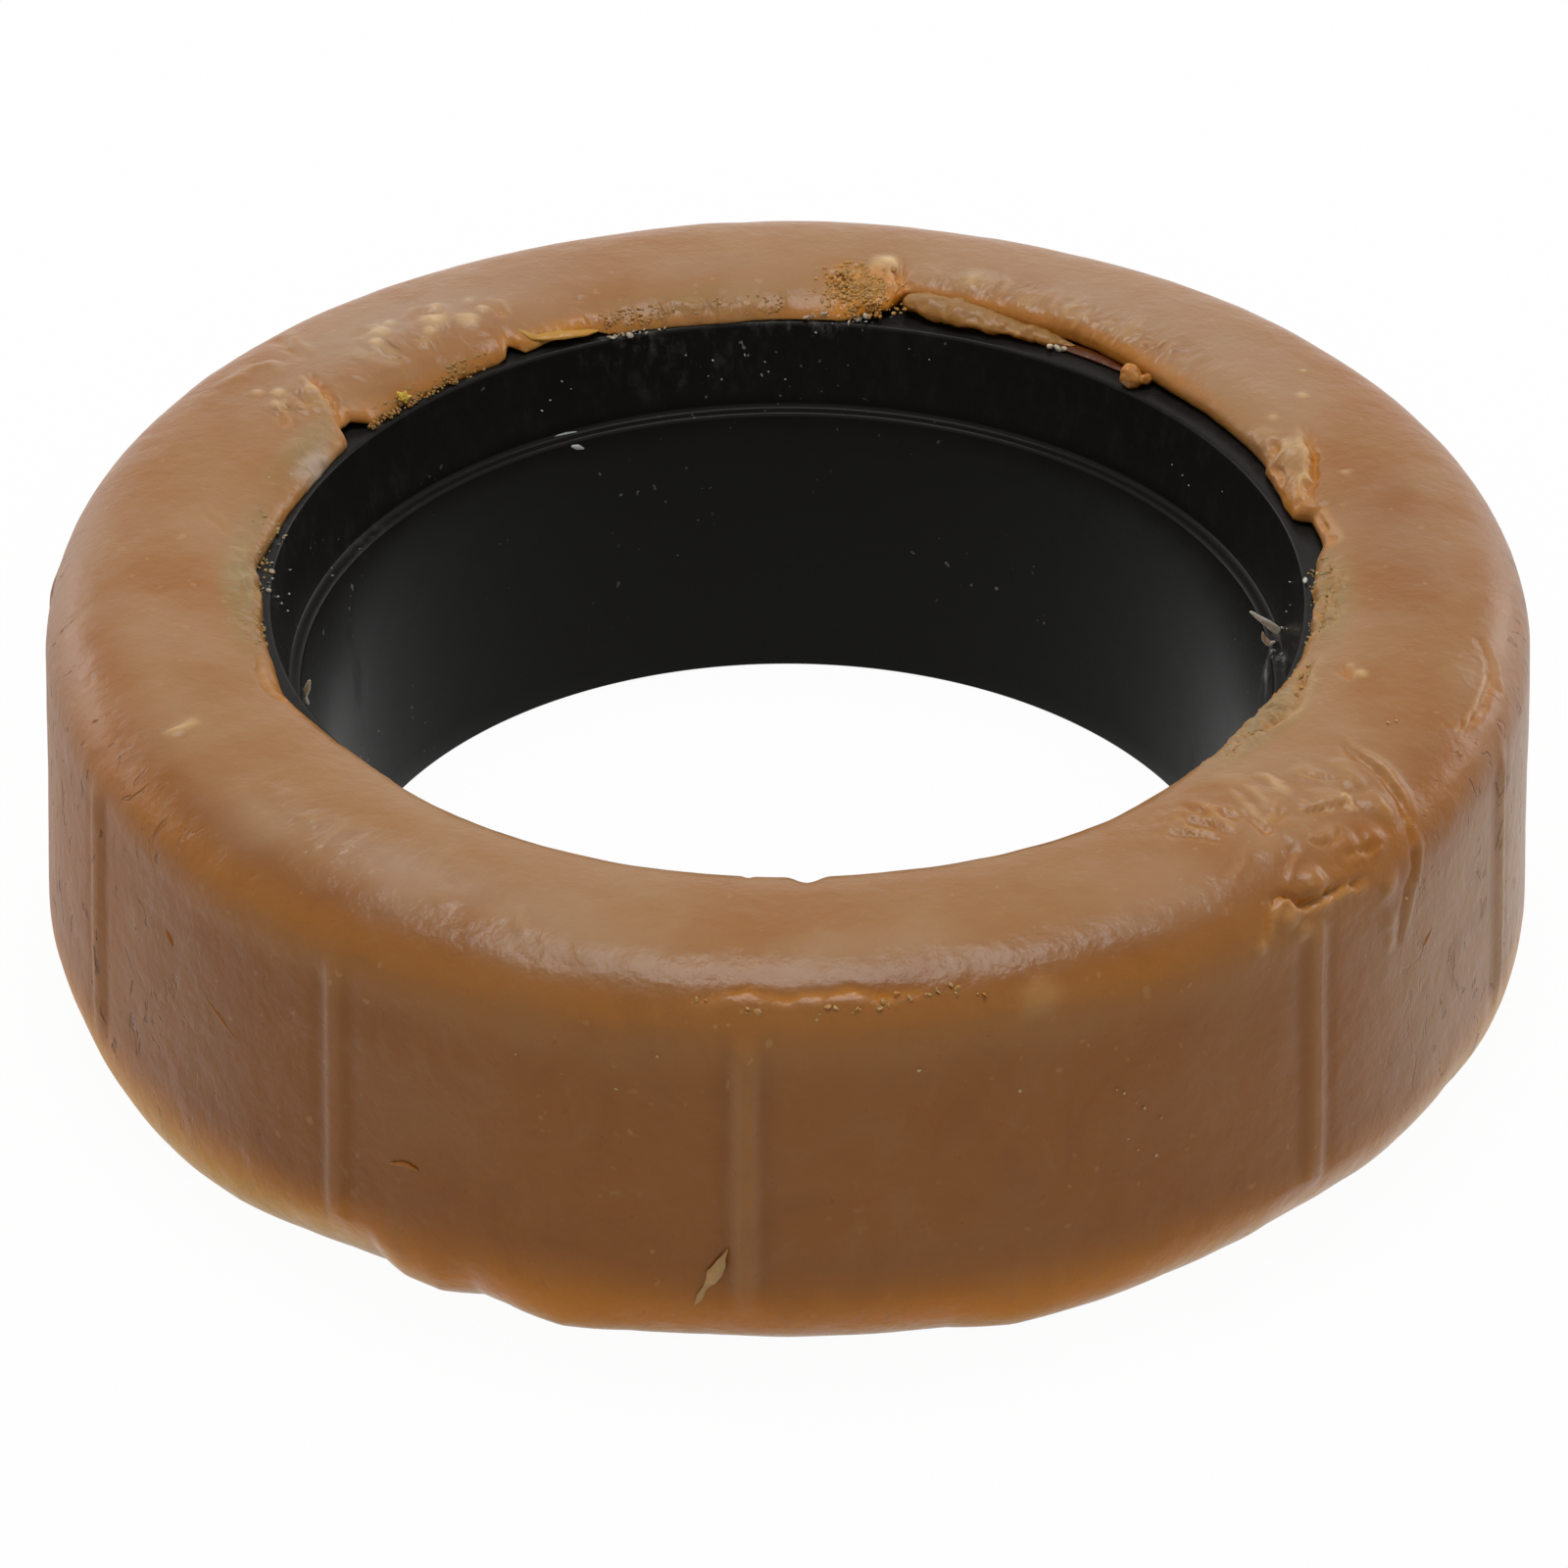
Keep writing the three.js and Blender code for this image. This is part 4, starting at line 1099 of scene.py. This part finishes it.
def make_torn_pieces(sizes, colours):
    """Torn wax: the second layer under the roll at the back right, the ball beside it, the dark sheet on the
    flange that paints the roll's shadow, the thin amber edge at the back left, the star flake, and the flake
    and slits low on the wall, the slits drawn as strips of deep wax that paint the shade inside them."""
    c = Casting(sizes)
    wax = wax_material(colours)
    made = []
    line = ring_line([
        (167.3, 44.2, 32.35), (165, 44.1, 32.4), (161.5, 43.95, 32.3), (157.5, 43.8, 32.15),
        (153.5, 43.85, 32.0), (150, 43.9, 31.85), (146.8, 44.1, 31.7)])
    made.append(ribbon(
        "second_layer", line, [1.0, 1.6, 1.75, 1.6, 1.3, 0.9, 0.4], [0.9, 0.95, 0.85, 0.7, 0.55, 0.4, 0.2],
        (0, 0, 1), wax, {"olive": 0.45, "grain": 0.9, "amber": (1.0, 0.0), "deep": 0.6},
        seed=61, rough=0.4, count=150, columns=32))
    # A dark sheet of thin wax on the flange under the roll, standing also for the shadow that the roll casts
    # there.
    line = ring_line([
        (152, 43.6, 31.65), (149, 43.75, 31.6), (146, 43.8, 31.6), (143, 43.7, 31.6),
        (140, 43.5, 31.6), (138, 43.4, 31.7)])
    made.append(ribbon(
        "dark_film", line, [0.2, 0.5, 0.7, 0.6, 0.5, 0.2], [0.08, 0.12, 0.16, 0.16, 0.16, 0.08],
        (0, 0, 1), wax, {"dark": 1.0, "grain": 0.3}, seed=67, rough=0.12, count=60))
    centres = ring_line([
        (137.6, 42.3, 32.2), (136.2, 42.9, 32.1), (148.3, 43.0, 31.7), (147.6, 43.2, 31.7),
        (149.1, 42.8, 31.8)])
    made.append(crumbs(
        "loose_ball", centres[:2], np.array([1.05, 0.55]), 62, wax,
        {"pale": (0.1, 0.25), "amber": (0.5, 0.7), "grain": (0.1, 0.2)}, flat=0.8, rough=0.35, levels=4))
    made.append(crumbs(
        "bright_grains", centres[2:], np.array([0.3, 0.25, 0.3]), 63, wax,
        {"pale": (0.6, 0.9), "dust": (0.4, 0.7), "grain": (0.5, 0.9)}, levels=3))
    line = ring_line([
        (-149.2, 44.0, 32.9), (-150.4, 43.0, 32.3), (-152, 42.6, 32.2), (-153.6, 42.3, 32.15),
        (-155.4, 42.1, 32.1), (-158.2, 42.2, 31.9)])
    made.append(ribbon(
        "amber_edge", line, [0.2, 0.5, 0.6, 0.55, 0.5, 0.2], [0.12, 0.22, 0.25, 0.25, 0.2, 0.1],
        (0, 0, 1), wax, {"yellow": 0.35, "amber": 0.3, "grain": 0.5},
        seed=64, rough=0.15, count=70, columns=14))
    star = ring_points(-131.1, 42.0, 32.4)
    for k, (way, length) in enumerate(((10, 0.8), (75, 0.75), (140, 0.9), (205, 0.6), (290, 0.7))):
        a = math.radians(way)
        tip = star + 0.9 * length * np.array([math.cos(a), 0.5 * math.sin(a), 0.7 * math.sin(a)])
        made.append(ribbon(
            f"star_flake_{k + 1}", [star, tip], [0.35, 0.22, 0.06], [0.1, 0.08, 0.04],
            (0, -0.5, 0.8), wax, {"yellow": 0.9, "pale": 0.6}, seed=70 + k, rough=0.05, count=20, columns=10))
    out = c.spots([(-4.3, 31.2), (-4.9, 32.9), (-5.4, 34.1), (-6.0, 35.0), (-6.7, 36.6)])
    made.append(ribbon(
        "tan_flake", out * (1.001, 1.001, 1), [0.1, 0.35, 0.55, 0.6, 0.42, 0.24, 0.28, 0.1],
        [0.06, 0.12, 0.16, 0.16, 0.14, 0.1, 0.1, 0.05], (0, -1, 0.1), wax,
        {"pale": 0.6, "amber": (0.5, 0.2)}, seed=65, rough=0.26, count=60, columns=18))
    # Each slit is a thin strip of deep wax, amber on its inner side, that paints the shade inside the slit.
    slits = (
        [(-48.7, 22.3), (-47, 23.3), (-45, 24.5)], [(-53.6, 19), (-52.6, 20)],
        [(-30.3, 29.2), (-28.9, 28.8), (-27.9, 29.1)], [(57, 20.6), (55.4, 21.8)])
    for k, places in enumerate(slits):
        out = c.spots(places)
        made.append(ribbon(
            f"wall_slit_{k + 1}", out, [0.1, 0.22, 0.1], [0.1, 0.18, 0.1], unit(out.mean(axis=0) * (1, 1, 0)),
            wax, {"deep": 1.0, "amber": (1.0, 0.3)}, seed=90 + k, rough=0.06, count=24, columns=10))
    return made


def make_chips(colours):
    """Chalky scraps on the sleeve: the V-shaped flake, the fibre on the right, the flake on the
    ledge and specks of dust."""
    wax = wax_material(colours)
    made = []

    def scrap(name, spots, widths, up, **layers):
        made.append(ribbon(
            name, ring_line(spots), widths, [0.06, 0.1, 0.06], up, wax, {"dust": 0.9, **layers},
            seed=81, rough=0.08, count=36, columns=12))

    facing = (0, -0.83, 0.56)
    scrap("v_flake_long", [(-87.8, 39.62, 23.6), (-87.8, 39.19, 22.5), (-87.8, 38.5, 21.2)],
          [0.18, 0.36, 0.12], facing)
    scrap("v_flake_short", [(-87.8, 38.36, 23.6), (-87.8, 38.65, 22.6), (-87.8, 38.85, 21.9)],
          [0.1, 0.24, 0.2], facing)
    scrap("fibre", [(96.9, 37.6, 26.3), (96.7, 38.32, 25.7), (96.6, 39.13, 25.1), (96.4, 40.1, 24.2)],
          [0.12, 0.2, 0.3, 0.4], facing, pale=0.15)
    scrap("grey_curl", [(94.5, 38.44, 25.3), (94.5, 38.6, 24.6), (94.4, 39.02, 24.1), (94.3, 39.57, 24.4)],
          [0.1, 0.2, 0.25, 0.1], facing, dust=0.55)
    scrap("grey_thread", [(95.7, 40.0, 25.1), (95.6, 40.95, 24.7), (95.5, 41.6, 24.2)], [0.08, 0.1, 0.06],
          facing, dust=0.5)
    level = (0, 0, 1)
    scrap("ledge_flake", [(-150.8, 40.1, 24.0), (-152.2, 40.1, 24.0), (-153.9, 40.0, 23.95)],
          [0.08, 0.16, 0.1], level)
    scrap("ledge_flake_low", [(-152.2, 38.8, 23.5), (-153.2, 38.8, 23.2), (-154, 38.8, 22.9)],
          [0.1, 0.24, 0.1], facing)
    scrap("rim_fleck", [(91.6, 41.5, 31.7), (90.6, 41.4, 31.6)], [0.1, 0.2, 0.1], level)
    spots = [
        (-171.2, 28.3), (-170.6, 26.9), (-172.2, 26.5), (-177.4, 27.9), (-177.8, 27.0), (-177, 26.7),
        (-179.8, 26.3), (176.6, 30.6), (165.5, 29.8), (163, 29.1), (126.4, 27), (118.8, 28.2),
        (128.4, 27.3), (125.1, 26.5), (-150.8, 27.3), (-149.6, 26.6), (-153.6, 27.8), (-152.5, 28.7),
        (-168, 29), (-175, 28.6), (95, 27.5), (96, 26.4), (94.2, 25.6), (97, 28.8), (-98, 27.2),
        (-96, 26.5), (-100, 28.6), (-94, 28.1), (-92.6, 29.4)]
    angle, height = np.array(spots).T
    ledge_radius, ledge_height, flare = 40.2, 23.8, 0.95
    radius = ledge_radius + (height - ledge_height) / COLLAR_HEIGHT * flare
    centres = ring_points(angle, radius, height)
    size = np.random.default_rng(9).uniform(0.06, 0.13, len(spots))
    made.append(crumbs("collar_specks", centres, size, 82, wax, {"dust": (0.6, 1.0)}, flat=0.5))
    return made


# Sleeve

def sleeve_mesh(sizes, colours):
    """The moulded sleeve, as a closed profile turned round the axis: tapered tube, ledge with two
    small rounds, flared collar, rounded rim and the flange that goes out under the wax."""
    bore = sizes.bore_radius / MM
    rim = sizes.rim_radius / MM
    top = sizes.sleeve_top / MM
    flange = sizes.flange_radius / MM
    ledge = top - COLLAR_HEIGHT
    wall, ledge_width, flare, collar_rise = 1.6, 1.2, 1.0, 6.5
    end_round, tube_round, ledge_round, rim_round = 0.25, 0.4, 0.5, 0.35
    collar = rim - flare
    tube_top = collar - ledge_width

    def arc(centre_r, centre_z, size, start, end, count):
        t = np.radians(np.linspace(start, end, count))
        return [(centre_r + size * math.cos(a), centre_z + size * math.sin(a)) for a in t]

    profile = [(bore + end_round, 0.0)]
    profile += arc(bore + end_round, end_round, end_round, 225, 180, 3)
    profile += [(bore + (tube_top - bore) * k / 12, ledge * k / 12) for k in range(1, 12)]
    profile += arc(tube_top + tube_round, ledge - tube_round, tube_round, 175, 90, 8)
    profile += arc(collar - ledge_round, ledge + ledge_round, ledge_round, 270, 352, 7)
    profile += [(collar + flare * k / 8, ledge + ledge_round + collar_rise * k / 8) for k in range(1, 8)]
    profile += arc(rim + rim_round, top - rim_round, rim_round, 175, 90, 7)
    profile += [(rim + 1.0, top), (rim + 2.5, top), (rim + 4.5, top), (flange, top), (flange, top - wall)]
    profile += [(rim + wall, top - wall), (rim + wall - 1.0, ledge - wall)]
    profile += [(tube_top + wall, ledge - wall), (bore + wall, 0.0)]
    radius, height = np.array(profile).T
    shape = (sizes.sleeve_steps, len(profile))
    angle = np.linspace(-180, 180, shape[0], endpoint=False)[:, None]
    angle, radius, height = np.broadcast_arrays(angle, radius, height)
    points = ring_points(angle, radius, height)

    dust = 0.012 * (height > ledge + 1)
    for strength, centre, span, low, high in SLEEVE_DUST:
        band = smooth(height, low - 1, low) * (1 - smooth(height, high, high + 1))
        dust = dust + strength * hump(turn(centre, angle) / span) * band
    dust = np.clip(dust * (radius < rim + 3), 0, 1)
    return make_object(
        "sleeve_moulded", points.reshape(-1, 3), grid_faces(*shape)[:, ::-1],
        plastic_material(colours), {"dust": dust.ravel()})


# Operators

def attach(made, node):
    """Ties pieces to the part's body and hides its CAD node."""
    for piece in made:
        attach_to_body(piece, "root")
        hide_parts(node)
    return {"FINISHED"}


class SEAL_OT_wax_ring(bpy.types.Operator):
    """Makes the cast wax ring"""
    bl_idname = "seal.wax_ring"
    bl_label = "Wax ring"

    def execute(self, context):
        scene = context.scene
        made = [wax_ring_mesh(scene.seal_sizes, scene.seal_colours)]
        return attach(made, "wax_ring")


class SEAL_OT_torn_wax(bpy.types.Operator):
    """Makes the torn layers, flakes and ball of wax along the inner edge"""
    bl_idname = "seal.torn_wax"
    bl_label = "Torn wax"

    def execute(self, context):
        scene = context.scene
        return attach(make_torn_pieces(scene.seal_sizes, scene.seal_colours), "wax_ring")


class SEAL_OT_granules(bpy.types.Operator):
    """Makes the granules and crumbs of wax"""
    bl_idname = "seal.granules"
    bl_label = "Granules"

    def execute(self, context):
        scene = context.scene
        return attach(make_granules(scene.seal_sizes, scene.seal_colours), "wax_ring")


class SEAL_OT_sleeve(bpy.types.Operator):
    """Makes the moulded sleeve with its flange"""
    bl_idname = "seal.sleeve"
    bl_label = "Flanged sleeve"

    def execute(self, context):
        scene = context.scene
        made = [sleeve_mesh(scene.seal_sizes, scene.seal_colours)]
        return attach(made, "flanged_sleeve")


class SEAL_OT_chips(bpy.types.Operator):
    """Makes the chalky scraps of wax that stick to the sleeve"""
    bl_idname = "seal.chips"
    bl_label = "Scraps on the sleeve"

    def execute(self, context):
        return attach(make_chips(context.scene.seal_colours), "wax_ring")


# Stage

CAMERA_DISTANCE = 0.680
CAMERA_ELEVATION = 34.05
CAMERA_AIM = (-0.00025, 0.0, 0.0125)
CAMERA_LENS = 192.3
SENSOR_WIDTH = 36.0
FLOOR_HALF_WIDTH = 3.0
# How far the floor lies below the seal, so that the two don't share a plane
FLOOR_DROP = 0.00005
# Lamps: name, place, point it faces, width, depth and watts
LAMPS = [
    ("overhead", (0.0, 0.16, 1.0), (0, 0, 0), 0.62, 0.44, 6.5),
    ("left_side", (-0.9, 0.7, 0.40), (0, 0, 0.02), 0.7, 0.35, 2.2),
    ("right_side", (0.9, 0.7, 0.40), (0, 0, 0.02), 0.7, 0.35, 2.4),
]


def area_lamp(name, place, aim, width, depth, watts):
    """Adds a soft rectangular lamp at a place, turned to face a point."""
    data = bpy.data.lights.new(name, "AREA")
    data.shape = "RECTANGLE"
    data.size, data.size_y = width, depth
    data.energy = watts
    lamp = bpy.data.objects.new(name, data)
    bpy.context.scene.collection.objects.link(lamp)
    lamp.location = place
    lamp.rotation_mode = "QUATERNION"
    lamp.rotation_quaternion = (Vector(aim) - Vector(place)).to_track_quat("-Z", "Y")


def studio_world():
    """Grey light on the seal, and white in what the camera and the reflections see."""
    world = bpy.data.worlds.new("studio")
    s = Shader(world)
    grey = s.node("ShaderNodeBackground", None, {"Color": (1, 1, 1, 1), "Strength": 0.42})
    white = s.node("ShaderNodeBackground", None, {"Color": (1, 1, 1, 1), "Strength": 1.0})
    surface = s.node("ShaderNodeMixShader", None, {0: s.seen_directly(), 1: grey, 2: white})
    s.node("ShaderNodeOutputWorld", None, {"Surface": surface})
    return world


class SEAL_OT_stage(bpy.types.Operator):
    """Makes the floor, the lamps, the world and the camera"""
    bl_idname = "seal.stage"
    bl_label = "Stage"

    def execute(self, context):
        scene = context.scene
        half = FLOOR_HALF_WIDTH
        corners = np.array([(-half, -half, 0), (half, -half, 0), (half, half, 0), (-half, half, 0)]) / MM
        floor = make_object("floor", corners, [[0, 1, 2, 3]], floor_material(scene.seal_colours))
        floor.location.z = -FLOOR_DROP

        for lamp in LAMPS:
            area_lamp(*lamp)
        scene.world = studio_world()

        data = bpy.data.cameras.new("camera")
        data.lens, data.sensor_width = CAMERA_LENS, SENSOR_WIDTH
        data.clip_start, data.clip_end = 0.05, 20.0
        camera = bpy.data.objects.new("camera", data)
        scene.collection.objects.link(camera)
        tilt = math.radians(CAMERA_ELEVATION)
        camera.location = (
            CAMERA_AIM[0],
            CAMERA_AIM[1] - CAMERA_DISTANCE * math.cos(tilt),
            CAMERA_AIM[2] + CAMERA_DISTANCE * math.sin(tilt))
        camera.rotation_euler = (math.pi / 2 - tilt, 0, 0)
        scene.camera = camera
        scene.view_settings.view_transform = "Standard"
        return {"FINISHED"}


class SEAL_PT_panel(bpy.types.Panel):
    """Lists the seal's operators, sizes and colours"""
    bl_idname = "SEAL_PT_panel"
    bl_label = "Toilet pan seal"
    bl_space_type = "VIEW_3D"
    bl_region_type = "UI"
    bl_category = "Seal"

    def draw(self, context):
        for operator in OPERATORS:
            self.layout.operator(operator.bl_idname)
        for group in (context.scene.seal_sizes, context.scene.seal_colours):
            column = self.layout.column()
            for name in group.__annotations__:
                column.prop(group, name)


OPERATORS = (
    SEAL_OT_stage, SEAL_OT_wax_ring, SEAL_OT_torn_wax, SEAL_OT_granules, SEAL_OT_sleeve, SEAL_OT_chips)
CLASSES = (SealSizes, SealColours, *OPERATORS, SEAL_PT_panel)


def register():
    for made in CLASSES:
        bpy.utils.register_class(made)
    bpy.types.Scene.seal_sizes = PointerProperty(type=SealSizes)
    bpy.types.Scene.seal_colours = PointerProperty(type=SealColours)


def unregister():
    del bpy.types.Scene.seal_colours
    del bpy.types.Scene.seal_sizes
    for made in reversed(CLASSES):
        bpy.utils.unregister_class(made)


def main():
    register()
    bpy.ops.seal.stage()
    bpy.ops.seal.wax_ring()
    bpy.ops.seal.torn_wax()
    bpy.ops.seal.granules()
    bpy.ops.seal.sleeve()
    bpy.ops.seal.chips()


if __name__ == "__main__":
    main()
